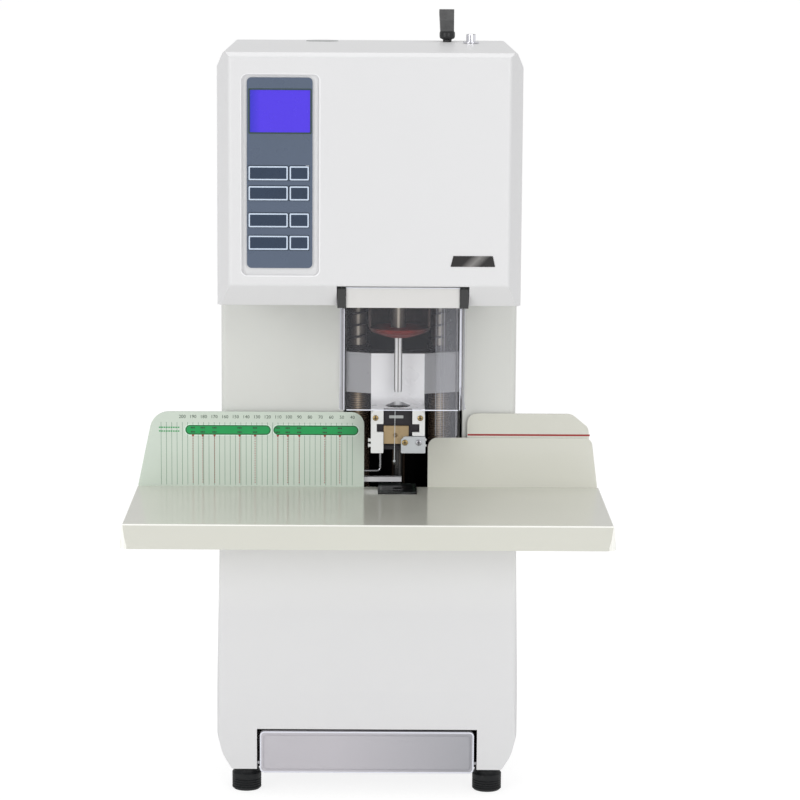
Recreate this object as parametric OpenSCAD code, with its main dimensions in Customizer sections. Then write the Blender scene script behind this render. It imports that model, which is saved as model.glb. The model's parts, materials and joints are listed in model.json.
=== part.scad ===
// Document riveting machine: a bench press that drills a stack of paper and rivets it with nylon tube.
// Frame: +X right, +Y to the back, +Z up. Origin on the floor, under the middle of the machine.

/* [Overall] */
// Height of the top of the head
head_top = 683; // [680:1:740]
// Depth from the front edge of the table to the back cover
depth = 330; // [310:1:360]
// Height of the table top
table_top = 270; // [240:1:273]

/* [Base] */
// Width of the base under the table
base_w_top = 270; // [250:1:300]
// Width of the base at its widest, near the floor
base_w_low = 276; // [256:1:306]
// Wall of the base and column sheet
sheet = 2.5; // [1.5:0.1:4]
// Distance from the front edge of the table to the front of the base
base_setback = 86; // [70:1:110]
// Height of the crease across the front of the base
crease_z = 97; // [85:1:130]
// Height of the rubber feet
foot_h = 22.6; // [15:0.1:35]
// Diameter of the rubber feet
foot_d = 27; // [22:0.5:34]
// Spacing of the feet across the machine
foot_span_x = 223; // [190:1:226]

/* [Drawer] */
// Width of the drawer front
drawer_w = 197.4; // [150:0.1:210]
// Height of the drawer front
drawer_h = 39.3; // [30:0.1:46]
// Depth of the drawer tray
drawer_depth = 176; // [120:1:200]

/* [Table] */
// Width of the table
table_w = 440; // [390:1:480]
// Height of the folded lip round the table
lip_h = 22; // [15:1:30]
// Wall of the table and its lip
table_wall = 2.5; // [2:0.1:4]

/* [Fences] */
// Height of the ruler fence above the table
ruler_h = 71; // [55:1:90]
// Height of the plain fence above the table
plain_h = 47; // [35:1:60]
// Height of the limit plate above the table
limit_h = 70; // [60:1:80]
// Thickness of the fences
fence_t = 1.5; // [1:0.1:3]
// Right edge of the ruler fence
ruler_edge_x = -4; // [-20:0.5:2]
// Left edge of the plain fence
plain_edge_x = 56; // [50:0.5:70]

/* [Column and head] */
// Width of the column and of the back of the head
column_w = 277; // [260:1:300]
// Left side of the press bay
bay_left = -23; // [-30:0.5:-22]
// Right side of the press bay
bay_right = 88; // [86:0.5:110]
// Depth of the press bay behind the column's face
bay_depth = 56; // [50:1:70]
// Height of the underside of the head above the table
throat = 188; // [180:1:191]
// Wall of the moulded head
head_wall = 3; // [2.5:0.1:5]
// Reach of the head in front of the column's face
head_reach = 148; // [130:1:150]
// Height and depth of the sloping edge under the head's face
bevel = 20; // [12:1:23]

/* [Press unit] */
// Diameter of the guide columns
column_d = 16; // [12:0.5:20]
// Spacing of the guide columns
column_span = 77; // [72:0.5:84]
// Wire of the return springs
wire_d = 2; // [1.5:0.1:2.4]
// Turns of each upper spring
upper_turns = 6; // [4:1:8]
// Turns of each lower spring
lower_turns = 19; // [12:1:22]
// Height of the shelf above the table
shelf_h = 80; // [76:0.5:85]
// Height of the bay cover above its shelf
cover_h = 47; // [40:1:50]
// Width of the riveting unit
unit_w = 50; // [46:0.5:60]

/* [Drill] */
// Diameter of the hollow drill
drill_d = 7.5; // [5:0.1:9]
// Bore of the hollow drill
drill_bore = 5.5; // [3:0.1:6.5]
// Free length of the drill
drill_len = 58; // [54:0.5:60]
// Diameter of the quill that carries the drill
quill_d = 14; // [13:0.1:16]
// Distance of the drill from the fences
edge_dist = 15; // [14:0.5:20]
// Travel of the drill
drill_travel = 93; // [80:1:93]

/* [Shield] */
// Width of the clear shield
shield_w = 115; // [110:0.5:117]
// Height of the clear shield
shield_h = 92; // [80:1:96]
// Wall of the clear shield
shield_t = 3; // [2:0.1:4]

/* [Clearances] */
// Gap where two pieces seat on each other
seat = 0.3; // [0.2:0.05:0.5]
// Radial clearance of a running or sliding fit
run = 0.05; // [0.02:0.01:0.1]
// Gap round a loose through hole
loose = 1.5; // [1:0.1:3]

/* [Hidden] */
$fn = 64;

// Planes of the machine
front_y = -depth / 2;
back_y = depth / 2;
base_y = front_y + base_setback;
fence_y = front_y + 186;
column_y = fence_y + 7;
cover_t = 8;
shell_back = back_y - cover_t - seat;
base_top = table_top - lip_h;
head_low = table_top + throat;
face_y = column_y - head_reach;
face_low = head_low + bevel;

// Press unit
bay_mid = (bay_left + bay_right) / 2 - 4;
bay_back = column_y + bay_depth;
columns_y = column_y + 22;
column_x = [bay_mid - column_span / 2, bay_mid + column_span / 2];
spring_r = column_d / 2 + 1.4 + wire_d / 2;
drill_x = bay_mid - 1.1;
drill_y = fence_y - edge_dist;
punch_x = drill_x - 1;
punch_y = drill_y - 14;
punch_d = 6.5;
shelf_z = table_top + shelf_h;
cover_top = shelf_z + cover_h;
unit_x0 = bay_mid - unit_w / 2 - 1.2;
unit_x1 = unit_x0 + unit_w;
panel_y = drill_y + 14;
wing_y = panel_y + 12;
yoke_low = shelf_z + 10;
yoke_top = cover_top - 3;
frame_t = 4;
frame_x = [bay_left - sheet - seat - frame_t, bay_right + sheet + seat];
bed_t = 12;
plate_low = head_low + head_wall + seat;
plate_t = 10;
shaft_d = 9.5;
drill_tip = table_top + 93;
quill_low = drill_tip + drill_len;
carriage_low = plate_low + plate_t + drill_travel + 20;
carriage_t = 12;
pulley_h = 12;
pulley_r = 14;
pulley_z = carriage_low + carriage_t + 1;
motor_y = bay_back + 34;
motor_d = 56;
feed_x = bay_mid + 46;
feed_y = bay_back + 26;
feed_rod_d = 10;
press_rod_d = 12;
tie_low = head_top - 33;
bore_d = column_d + 2 * run;

// Control panel: the recess, the plate and the keys, by their places on the head's face
recess = [-113.4, -44, head_top - 197, head_top - 19];
panel = [-108.2, -50.4, head_top - 190, head_top - 22];
screen = [-106.4, -51.6, head_top - 71, head_top - 32];
recess_d = 3;
panel_t = 1.6;
key_cols = [[-107, -71.8], [-70.8, -53.2]];
key_rows = [head_top - 106, head_top - 123.7, head_top - 147.6, head_top - 167.5];
key_h = 13;
key_gap = 0.3;
key_travel = 0.5;

// Shield hinge
hinge_y = face_y + 10;
hinge_z = head_low + 12;
hinge_pin_d = 4;
shield_x = [bay_mid - 1.5 - shield_w / 2 + 3.2, bay_mid - 1.5 + shield_w / 2 + 3.2];
clip_w = 7.6;
clip_x = [shield_x[0] - 0.9, shield_x[1] + 0.7 - clip_w];

// Top of the head
lever_pos = [73.4, 122];
inlet_pos = [95, 90];
inlet_bore = 6;
inlet_d = 9;

// Back of the machine
socket_pos = [114, 78];
socket_size = [27.4, 20];
rocker_pos = [114, 104];
rocker_size = [19, 13];
chute_x = [-74, -40];
chute_y = [bay_back + 14, bay_back + 44];

// ---- shape helpers ----

function unit(v) = v / norm(v);

// Points of one corner of an outline, rounded by an arc of radius r
function corner(a, p, b, r, n = 6) = r <= 0 ? [p] :
    let (u = unit(a - p), v = unit(b - p), half = acos(u * v) / 2)
    let (c = p + unit(u + v) * r / sin(half), s = p + u * r / tan(half) - c, e = p + v * r / tan(half) - c)
    let (t0 = atan2(s[1], s[0]), turn = atan2(e[1], e[0]) - t0)
    let (sweep = turn > 180 ? turn - 360 : turn < -180 ? turn + 360 : turn)
    [for (i = [0:n]) c + r * [cos(t0 + sweep * i / n), sin(t0 + sweep * i / n)]];

// Outline of [x, y, corner radius] points
function rounded(pts) = let (n = len(pts))
    [for (i = [0:n - 1])
        each corner(xy(pts[(i + n - 1) % n]), xy(pts[i]), xy(pts[(i + 1) % n]), pts[i][2])];
function xy(p) = [p[0], p[1]];

// A box from its lowest to its highest corner
module block(a, b) translate(a) cube(b - a);

// Outline in X and Z, run along Y
module along_y(y0, y1) translate([0, y1, 0]) rotate([90, 0, 0]) linear_extrude(y1 - y0) children();

// Outline in Y and Z, run along X
module along_x(x0, x1) translate([x0, 0, 0]) rotate([90, 0, 90]) linear_extrude(x1 - x0) children();

// Outline in X and Y, run along Z
module along_z(z0, z1) translate([0, 0, z0]) linear_extrude(z1 - z0) children();

// Flat rectangle with round corners
module pad2d(a, b, r) polygon(rounded([[a[0], a[1], r], [b[0], a[1], r], [b[0], b[1], r], [a[0], b[1], r]]));

// Upright cylinder
module post(x, y, z0, z1, d) translate([x, y, z0]) cylinder(d = d, h = z1 - z0);

// Cylinder along Y
module hole_y(x, z, y0, y1, d) translate([x, y0, z]) rotate([-90, 0, 0]) cylinder(d = d, h = y1 - y0);

// One spring: a wire wound round an upright axis, its ends turned square onto their seats
function spring_path(r, z0, z1, turns) =
    let (n = turns * 8, rise = 1.5 * wire_d, last = r * [cos(n * 45 + 24), sin(n * 45 + 24)])
    concat([[r, 0, z0], [r, 0, z0 + wire_d]],
        [for (i = [0:n]) let (a = 12 + i * 45, z = z0 + rise + (z1 - z0 - 2 * rise) * ease(i / n))
            [r * cos(a), r * sin(a), z]],
        [[last[0], last[1], z1 - wire_d], [last[0], last[1], z1]]);
// Closer turns at both ends
function ease(t) = t - 0.07 * sin(360 * t);
function ring(path, i, sides) = let (n = len(path), p = path[i])
    let (t = unit(path[min(i + 1, n - 1)] - path[max(i - 1, 0)]), e = unit([p[0], p[1], 0]))
    let (u = unit(e - (e * t) * t), w = cross(t, u))
    [for (k = [0:sides - 1]) p + wire_d / 2 * (cos(360 * k / sides) * u + sin(360 * k / sides) * w)];
module wire(path, sides = 6) {
    n = len(path);
    rows = [for (i = [0:n - 1]) each ring(path, i, sides)];
    walls = [for (i = [0:n - 2], k = [0:sides - 1]) let (a = i * sides, m = (k + 1) % sides)
        each [[a + k, a + m, a + sides + k], [a + m, a + sides + m, a + sides + k]]];
    ends = [for (k = [1:sides - 2]) each [[0, k + 1, k],
        [(n - 1) * sides, (n - 1) * sides + k, (n - 1) * sides + k + 1]]];
    polyhedron(points = rows, faces = concat(walls, ends));
}
// Least gap between two turns that are at least half a turn apart along the wire
function self_gap(path) = let (n = len(path))
    min([for (i = [0:n - 6]) min([for (j = [i + 5:min(n - 1, i + 12)]) norm(path[i] - path[j])])]) - wire_d;
module spring(side, z0, z1, turns) {
    path = spring_path(spring_r, z0, z1, turns);
    echo("least gap between turns", self_gap(path));
    translate([column_x[side], columns_y, 0]) wire(path);
}

// ---- base ----

// Front outline of the base, with its cut lower corners
function base_outline(i) = let (w0 = base_w_top / 2 - i, w1 = base_w_low / 2 - i, z0 = foot_h + i)
    rounded([[-w0, base_top - i, 2], [w0, base_top - i, 2], [w1, crease_z, 30], [w1, z0 + 34, 20],
        [w1 - 5, z0 + 14, 30], [w1 - 13.5, z0, 3], [-w1 + 13.5, z0, 3], [-w1 + 5, z0 + 14, 30],
        [-w1, z0 + 34, 20], [-w1, crease_z, 30]]);
// Side outline, whose front leans back below the crease
function base_side(i, back) = [[base_y + i, base_top - i], [back, base_top - i], [back, foot_h + i],
    [base_y + 2.5 + i, foot_h + i], [base_y + i, crease_z]];
module base_form(i, back) intersection() {
    along_y(base_y - 1, back + 1) polygon(base_outline(i));
    along_x(-base_w_low, base_w_low) polygon(base_side(i, back));
    along_z(0, base_top) {
        w = base_w_low / 2 - i;
        polygon(rounded([[-w, base_y + i, 5], [w, base_y + i, 5], [w, back, 0], [-w, back, 0]]));
    }
}
drawer_low = foot_h - 3;
drawer_top = drawer_low + drawer_h;
bay_w = drawer_w + 5.6;
roof_low = base_top - sheet - 1;
module base_shell() color("whitesmoke") difference() {
    base_form(0, shell_back);
    base_form(sheet, shell_back + 1);
    block([-bay_w / 2, base_y - 1, foot_h - 1], [bay_w / 2, base_y + 12, drawer_top + 2.1]);
    block([-base_w_low / 2 + 28, base_y + 24, foot_h - 1], [base_w_low / 2 - 28, back_y, foot_h + sheet + 1]);
    block([frame_x[0] - seat, fence_y - seat, roof_low], [frame_x[1] + frame_t + seat, back_y, base_top + 1]);
    block([chute_x[0] - seat, chute_y[0] - seat, roof_low], [chute_x[1] + seat, chute_y[1] + seat, base_top + 1]);
    block([pad_x[0] - loose, base_y + 40, roof_low], [pad_x[1] + loose, fence_y, base_top + 1]);
    at_feet() post(0, 0, foot_h - 1, foot_h + sheet + 1, foot_stud_d + 0.6);
}
module at_feet() for (s = [-1, 1]) for (y = feet_y) translate([s * foot_span_x / 2, y, 0]) children();
floor_z = foot_h + sheet + seat;
rail_x = drawer_w / 2 - 2.4;
module base_plate() color("dimgray") difference() {
    union() {
        block([-base_w_low / 2 + 22, base_y + 10, floor_z], [base_w_low / 2 - 22, shell_back - 1, floor_z + 2.5]);
        for (s = [-1, 1]) for (z = [floor_z, floor_z + 27])
            block([min(s * rail_x, s * (rail_x + 2)), base_y + 14, z],
                [max(s * rail_x, s * (rail_x + 2)), base_y + 14 + drawer_depth, z == floor_z ? z + 29 : z + 2]);
    }
    at_feet() post(0, 0, floor_z - 1, floor_z + 4, foot_stud_d + 0.6);
}
feet_y = [base_y + 19.5, shell_back - 24];
foot_stud_d = 8;
module feet() color("black") at_feet() rotate_extrude() {
    r = foot_d / 2;
    stud_r = foot_stud_d / 2;
    polygon([[0, 0], [r - 1.5, 0], [r, 1.5],
        for (z = [3:2.2:foot_h - 11]) each [[r, z], [r - 0.6, z + 0.4], [r - 0.6, z + 1], [r, z + 1.4]],
        [r, foot_h - 7], [r - 1.4, foot_h - 5], [r - 3, foot_h - seat], [stud_r, foot_h - seat],
        [stud_r, floor_z + 9], [0, floor_z + 9]]);
}

tray_x = rail_x - 1.2;
tray_low = floor_z + 2.5 + seat;
tray_y = base_y + 6;
module chip_drawer() color("lavender") {
    difference() {
        union() {
            along_y(base_y + 0.6, tray_y) pad2d([-drawer_w / 2, drawer_low], [drawer_w / 2, drawer_top], 4);
            block([-tray_x, tray_y - 1, tray_low], [tray_x, tray_y + drawer_depth, drawer_top - 4]);
        }
        block([-tray_x + 1.8, tray_y, tray_low + 1.8], [tray_x - 1.8, tray_y + drawer_depth - 1.8, drawer_top]);
        along_y(base_y, base_y + 1.2) difference() {
            pad2d([-drawer_w / 2 + 3, drawer_low + 3], [drawer_w / 2 - 3, drawer_top - 3], 3);
            pad2d([-drawer_w / 2 + 4, drawer_low + 4], [drawer_w / 2 - 4, drawer_top - 4], 3);
        }
    }
}

// ---- table, pad and fences ----

lip_draft = 2.4;
fence_half = table_w / 2 - 2;
module table_form(i, low) {
    w = table_w / 2 - i;
    intersection() {
        along_y(front_y - 1, fence_y - i)
            polygon(rounded([[-w + lip_draft, table_top - i, 1.5], [w - lip_draft, table_top - i, 1.5], [w, low, 0],
                [-w, low, 0]]));
        along_x(-w - 1, w + 1)
            polygon(rounded([[front_y + i + lip_draft, table_top - i, 1.5], [fence_y - i, table_top - i, 1],
                [fence_y - i, low, 0], [front_y + i, low, 0]]));
        along_z(low, table_top)
            polygon(rounded([[-w, front_y + i, 9 - i], [w, front_y + i, 9 - i], [w, fence_y - i, 3],
                [-w, fence_y - i, 3]]));
    }
}
pad_x = [drill_x - 18, drill_x + 18];
pad_y = [drill_y - 23, drill_y + 25];
module work_table() color("beige") difference() {
    table_form(0, base_top);
    table_form(table_wall, base_top - 1);
    block([pad_x[0] - seat, pad_y[0] - seat, base_top - 1], [pad_x[1] + seat, fence_y + 1, table_top + 1]);
}
module pad_block() color("black") difference() {
    along_z(base_top + seat, table_top + 1.5)
        polygon(rounded([[pad_x[0], pad_y[0] + 4, 2], [drill_x, pad_y[0] - 1.5, 40], [pad_x[1], pad_y[0] + 4, 2],
            [pad_x[1], pad_y[1], 1], [pad_x[0], pad_y[1], 1]]));
    block([pad_x[0] - 1, base_y - 60, base_top], [pad_x[1] + 1, fence_y - 4, table_top - 12]);
    post(drill_x, drill_y, table_top - 6, table_top + 2, drill_d + loose);
    post(punch_x, punch_y, base_top, table_top + 2, punch_d + loose);
}
module fence_screws(x0, x1) for (x = [x0, (x0 + x1) / 2, x1])
    hole_y(x, fence_screw_z, fence_y - 5, fence_y + 15, 4.2);
fence_low = base_top + 3;
fence_screw_z = table_top - 10;
module ruler_fence() color("honeydew") difference() {
    along_y(fence_y + seat, fence_y + seat + fence_t) {
        w = fence_half;
        polygon(rounded([[-w + 6, fence_low, 2], [ruler_edge_x, fence_low, 2],
            [ruler_edge_x, table_top + ruler_h, 12], [-w + 15.8, table_top + ruler_h, 18],
            [-w + 1, table_top, 2], [-w + 6, table_top - 4, 2]]));
    }
    fence_screws(ruler_edge_x - 26, -fence_half + 38);
}
module plain_fence() color("beige") difference() {
    along_y(fence_y + seat, fence_y + seat + fence_t) {
        w = fence_half;
        polygon(rounded([[plain_edge_x, fence_low, 2], [w - 8, fence_low, 2], [w - 8, table_top - 4, 2],
            [w - 2, table_top, 2], [w - 8, table_top + plain_h, 7], [plain_edge_x, table_top + plain_h, 9]]));
    }
    fence_screws(plain_edge_x + 24, fence_half - 28);
}
module limit_plate() color("beige") {
    w = fence_half;
    y = fence_y + 2 * seat + fence_t;
    along_y(y, y + fence_t) polygon(rounded([[plain_edge_x + 37, table_top + 14, 2], [w - 8, table_top + 14, 2],
        [w - 11, table_top + limit_h - 13, 8], [w - 27, table_top + limit_h, 12],
        [plain_edge_x + 37, table_top + limit_h, 9]]));
}
module back_stop() color("silver") difference() {
    block([bay_left + seat, fence_y + 4, table_top + 4], [drill_x + 4, fence_y + 10, table_top + 8.5]);
    post(bay_left + 8, fence_y + 7, table_top, table_top + 10, 3.2);
}

// ---- column, frame and covers ----

module column_shell() color("lightgray") difference() {
    along_z(base_top + seat, head_low - seat) difference() {
        w = column_w / 2;
        polygon(rounded([[-w, column_y, 5], [bay_left, column_y, 1.5], [bay_left, bay_back, 2],
            [bay_right, bay_back, 2], [bay_right, column_y, 1.5], [w, column_y, 5],
            [w, shell_back, 0], [-w, shell_back, 0]]));
        polygon(rounded([[-w + sheet, column_y + sheet, 3], [bay_left - sheet, column_y + sheet, 1],
            [bay_left - sheet, bay_back + sheet, 1], [bay_right + sheet, bay_back + sheet, 1],
            [bay_right + sheet, column_y + sheet, 1], [w - sheet, column_y + sheet, 3],
            [w - sheet, shell_back + 1, 0], [-w + sheet, shell_back + 1, 0]]));
    }
    block([-column_w, column_y - 1, base_top], [column_w, column_y + 0.01, base_top + 1]);
}
module frame_sides() color("slategray") for (x = frame_x) along_x(x, x + frame_t)
    pad2d([column_y + 8, drawer_top + 20], [shell_back - 8, head_top - 20], 10);
plate_back = shell_back - 12;
plate_front = drill_y - 32;
module lower_bed() color("dimgray") difference() {
    block([bay_left - sheet, column_y + 3, base_top - bed_t], [bay_right + sheet, plate_back, base_top]);
    for (x = column_x) post(x, columns_y, base_top - bed_t - 1, base_top + 1, bore_d);
    post(bay_mid, columns_y, base_top - bed_t - 1, base_top + 1, press_rod_d + loose);
}
module upper_plate() difference() {
    z0 = plate_low - 1;
    z1 = plate_low + plate_t + 1;
    block([bay_left - sheet, plate_front, plate_low], [bay_right + sheet, plate_back, z1 - 1]);
    for (x = column_x) post(x, columns_y, z0, z1, bore_d);
    post(drill_x, drill_y, z0, z1, quill_d + loose);
    post(bay_mid, motor_y, z0, z1, motor_d + 6);
    post(feed_x, feed_y, z0, z1, feed_rod_d + loose);
}
module top_tie() difference() {
    block([bay_left - sheet, columns_y - 15, tie_low], [bay_right + sheet, columns_y + 15, tie_low + 12]);
    for (x = column_x) post(x, columns_y, tie_low - 1, tie_low + 13, bore_d);
}
module cross_plates() color("dimgray") {
    upper_plate();
    top_tie();
}
module guide_columns() color("silver") for (x = column_x) translate([x, columns_y, base_top - bed_t])
    rotate_extrude() {
        r = column_d / 2;
        long = tie_low + 16 - base_top + bed_t;
        polygon([[0, 0], [r - 1, 0], [r, 1], [r, long - 1], [r - 1, long], [0, long]]);
    }

// Screws of the rear cover, as [x, z]
rear_screws = [for (s = [-1, 1]) for (z = [base_top - 108, head_low - 68, head_top - 33])
    [s * (column_w / 2 - 11), z]];
module rear_drill(y0, y1, d) for (p = rear_screws) hole_y(p[0], p[1], y0, y1, d);
vent_w = 3.6;
vent_step = 9;
module vents(x0, x1, z0, rows) for (i = [0:rows - 1]) along_y(back_y - cover_t - 1, back_y + 1)
    pad2d([x0, z0 + i * vent_step], [x1, z0 + i * vent_step + vent_w], vent_w / 2 - 0.01);
module rear_cover() color("lightgray") difference() {
    union() {
        rear_tray();
        rear_drill(back_y - 5, back_y - 0.5, 11);
    }
    rear_drill(back_y - cover_t, back_y + 1, 3.4);
    rear_drill(back_y - 2.2, back_y + 1, 7.4);
}
function tray_outline(w, low, high, cut) = rounded([[-w + 12, low, 4], [w - 12, low, 4], [w, low + 35, 10],
    [w, high - cut, 6], [w - 9, high, 4], [-w + 9, high, 4], [-w, high - cut, 6], [-w, low + 35, 10]]);
module rear_tray() difference() {
    along_y(back_y - cover_t, back_y)
        polygon(tray_outline(column_w / 2 - 1, foot_h + 3, head_top - 3, 21));
    along_y(back_y - cover_t - 1, back_y - 1.5)
        polygon(tray_outline(column_w / 2 - 2.5, foot_h + 5, head_top - 5, 20));
    for (s = [-1, 1]) vents(min(s * 30, s * 100), max(s * 30, s * 100), 560, 8);
    vents(-100, -30, 66, 6);
    along_y(back_y - 3, back_y + 1) {
        pad2d(socket_pos - socket_size / 2 - [seat, seat], socket_pos + socket_size / 2 + [seat, seat], 2);
        pad2d(rocker_pos - rocker_size / 2 - [seat, seat], rocker_pos + rocker_size / 2 + [seat, seat], 1);
    }
}

// ---- head ----

// Outlines of the head from the front, the side and the top, set in by i
head_cut = [9, 20];
front_cut = [14.5, 22];
function head_front(i) = let (w = column_w / 2 - i, z1 = head_top - i, c = i * 0.35)
    rounded([[-w, head_low + i, 1], [w, head_low + i, 1], [w, z1 - head_cut[1] + c, 4],
        [w - head_cut[0] + c, z1, 3], [-w + head_cut[0] - c, z1, 3], [-w, z1 - head_cut[1] + c, 4]]);
function head_side(i) = let (b = i > 0 ? shell_back + 1 : shell_back, c = i * 0.4)
    rounded([[face_y + 15 + c, head_low + i, 2], [b, head_low + i, 0], [b, head_top - i, 0],
        [face_y + 6 + c, head_top - i, 4], [face_y + i, head_top - 4 - c, 3], [face_y + i, face_low + c, 5]]);
function head_plan(i) =
    let (b = i > 0 ? shell_back + 1 : shell_back, w = column_w / 2, c = i * 0.4, y = face_y + front_cut[1] + c)
    rounded([[-w + front_cut[0] + c, face_y + i, 5], [w - front_cut[0] - c, face_y + i, 5],
        [w - 3 - i, y, 6], [w - i, column_y, 0], [w - i, b, 0],
        [-w + i, b, 0], [-w + i, column_y, 0], [-w + 3 + i, y, 6]]);
module head_form(i) intersection() {
    along_y(face_y - 1, shell_back + 2) polygon(head_front(i));
    along_x(-column_w, column_w) polygon(head_side(i));
    along_z(head_low - 1, head_top + 1) polygon(head_plan(i));
}
pocket_x = [clip_x[0] - 0.6, clip_x[1] + clip_w + 0.6];
rib = 3;
roof_high = head_low + head_wall + 1;
module head_shell() color("white") difference() {
    union() {
        difference() {
            head_form(0);
            head_form(head_wall);
        }
        intersection() {
            head_form(0);
            block([recess[0] - rib, face_y, recess[2] - rib], [recess[1] + rib, face_y + recess_d + 2.4, recess[3] + rib]);
        }
        intersection() {
            head_form(0);
            block([pocket_x[0] - rib, face_y, head_low], [pocket_x[1] + rib, face_y + 24, face_low + 4]);
        }
    }
    along_y(face_y - 1, face_y + recess_d) pad2d([recess[0], recess[2]], [recess[1], recess[3]], 7);
    along_y(face_y - 1, face_y + 10) pad2d([panel[0] + 3, panel[2] + 4], [panel[1] - 3, panel[3] - 4], 3);
    block([pocket_x[0], face_y - 1, head_low - 1], [pocket_x[1], face_y + 21, face_low - 1]);
    block([bay_left, plate_front, head_low - 1], [bay_right, shell_back + 2, roof_high]);
    block([frame_x[0] - seat, column_y, head_low - 1], [frame_x[1] + frame_t + seat, shell_back + 2, roof_high]);
    block([chute_x[0] - seat, chute_y[0] - seat, head_low - 1], [chute_x[1] + seat, chute_y[1] + seat, roof_high]);
    post(inlet_pos[0], inlet_pos[1], head_top - 10, head_top + 1, inlet_d + 2 * run);
    post(lever_pos[0], lever_pos[1], head_top - 10, head_top + 1, stud_d + 2 * run);
}
function key_box(i, grow) = let (col = key_cols[i % 2], z = key_rows[floor(i / 2)])
    [[col[0] - grow, z - key_h / 2 - grow], [col[1] + grow, z + key_h / 2 + grow]];
plate_y = face_y + recess_d - seat - panel_t;
module keypad_panel() color("slategray") difference() {
    along_y(plate_y, plate_y + panel_t) difference() {
        pad2d([panel[0], panel[2]], [panel[1], panel[3]], 4);
        for (i = [0:7]) pad2d(key_box(i, key_gap)[0], key_box(i, key_gap)[1], 1);
        pad2d([screen[0] + 1, screen[2] + 1], [screen[1] - 1, screen[3] - 1], 0.5);
    }
    along_y(plate_y - 1, plate_y + 0.8)
        pad2d([screen[0] - seat, screen[2] - seat], [screen[1] + seat, screen[3] + seat], 0.5);
}
module display_window() color("mediumslateblue")
    along_y(plate_y + 0.1, plate_y + 0.8) pad2d([screen[0], screen[2]], [screen[1], screen[3]], 0.5);
board_y = plate_y + panel_t + key_travel + 3.4;
module control_board() color("darkgreen") {
    block([panel[0] + 6, board_y, panel[2] + 6], [panel[1] - 6, board_y + 1.6, panel[3] - 6]);
    for (x = [panel[0] + 9, panel[1] - 9]) for (z = [panel[2] + 9, panel[3] - 9])
        hole_y(x, z, plate_y + panel_t, board_y, 4);
}
module key(i) color("midnightblue") {
    a = key_box(i, 0);
    along_y(plate_y - 0.6, plate_y + panel_t - 0.6) pad2d(a[0], a[1], 1);
    mid = (a[0] + a[1]) / 2;
    stem = plate_y + panel_t - 1;
    hole_y(mid[0], mid[1], stem, board_y - key_travel - 0.2, 5);
}
module tube_inlet() color("silver") translate([inlet_pos[0], inlet_pos[1], head_top]) rotate_extrude() {
    r = inlet_d / 2;
    flange = 1.5 + seat;
    polygon([[inlet_bore / 2, -12], [r, -12], [r, seat], [r + 3, seat], [r + 3, flange],
        [r, flange], [r, 8.2], [r - 0.5, 8.7], [inlet_bore / 2, 8.7]]);
}
stud_d = 6;
module clamp_lever() color("black") translate([lever_pos[0], lever_pos[1], head_top + seat]) {
    translate([0, 0, -9]) cylinder(d = stud_d, h = 10);
    rotate_extrude() polygon([[0, 0], [4.2, 0], [4.2, 2], [6.8, 3.2], [7.4, 5], [7.4, 8.5], [6.6, 10], [0, 10]]);
    intersection() {
        along_x(-9, 9) polygon(rounded([[0, 7.5, 0], [5, 7.5, 3], [14, 14, 5], [29, 26, 1.5],
            [25.5, 30.6, 1.5], [11, 20, 5], [0, 9.6, 0]]));
        along_z(2, 38) polygon([[-6.4, -2], [6.4, -2], [7.4, 34], [-7.4, 34]]);
    }
}

// ---- shield ----

shield_top = head_low - 2;
shield_low = shield_top - shield_h;
shield_back = column_y - 3;
module shield_plan(i) {
    back = i > 0 ? shield_back + 1 : shield_back;
    polygon(rounded([[shield_x[0] + i, hinge_y + i, 9 - i], [shield_x[1] - i, hinge_y + i, 9 - i],
        [shield_x[1] - i, back, 0], [shield_x[0] + i, back, 0]]));
}
module shield() color([0.85, 0.9, 0.95, 0.35]) {
    along_z(shield_low, shield_top) difference() {
        shield_plan(0);
        shield_plan(shield_t);
    }
    block([shield_x[0] + 12, hinge_y, shield_top - 1], [shield_x[1] - 12, hinge_y + shield_t, head_low + 8]);
}
bar_x = [clip_x[0] + clip_w + seat, clip_x[1] - seat];
module shield_bar() color("white") {
    along_x(bar_x[0], bar_x[1])
        polygon(rounded([[hinge_y - seat, head_low - 1, 0.5], [hinge_y - seat, hinge_z - 3, 0],
            [hinge_y + 2.6, hinge_z - 2, 0.5], [hinge_y + 2.6, hinge_z + 3.6, 2],
            [hinge_y - 2.8, hinge_z + 6, 1], [hinge_y - 2.8, head_low - 1, 0.6]]));
    hinge_pin(clip_x[0] + 2, clip_x[1] + clip_w - 2, hinge_pin_d);
}
module hinge_pin(x0, x1, d) translate([x0, hinge_y, hinge_z]) rotate([0, 90, 0]) cylinder(d = d, h = x1 - x0);
module hinge_clips() color("black") for (x = clip_x) difference() {
    y0 = hinge_y - 4.5;
    y1 = face_y + 21 - seat;
    z1 = face_low - 1 - seat;
    along_x(x, x + clip_w) polygon(rounded([[y0, head_low - 1.2, 1], [hinge_y + 3, head_low - 1.2, 1],
        [y1, head_low + 4, 2], [y1, z1, 1], [y0, z1, 3]]));
    hinge_pin(x - 1, x + clip_w + 1, hinge_pin_d + 2 * run);
}

// ---- press unit ----

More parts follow.
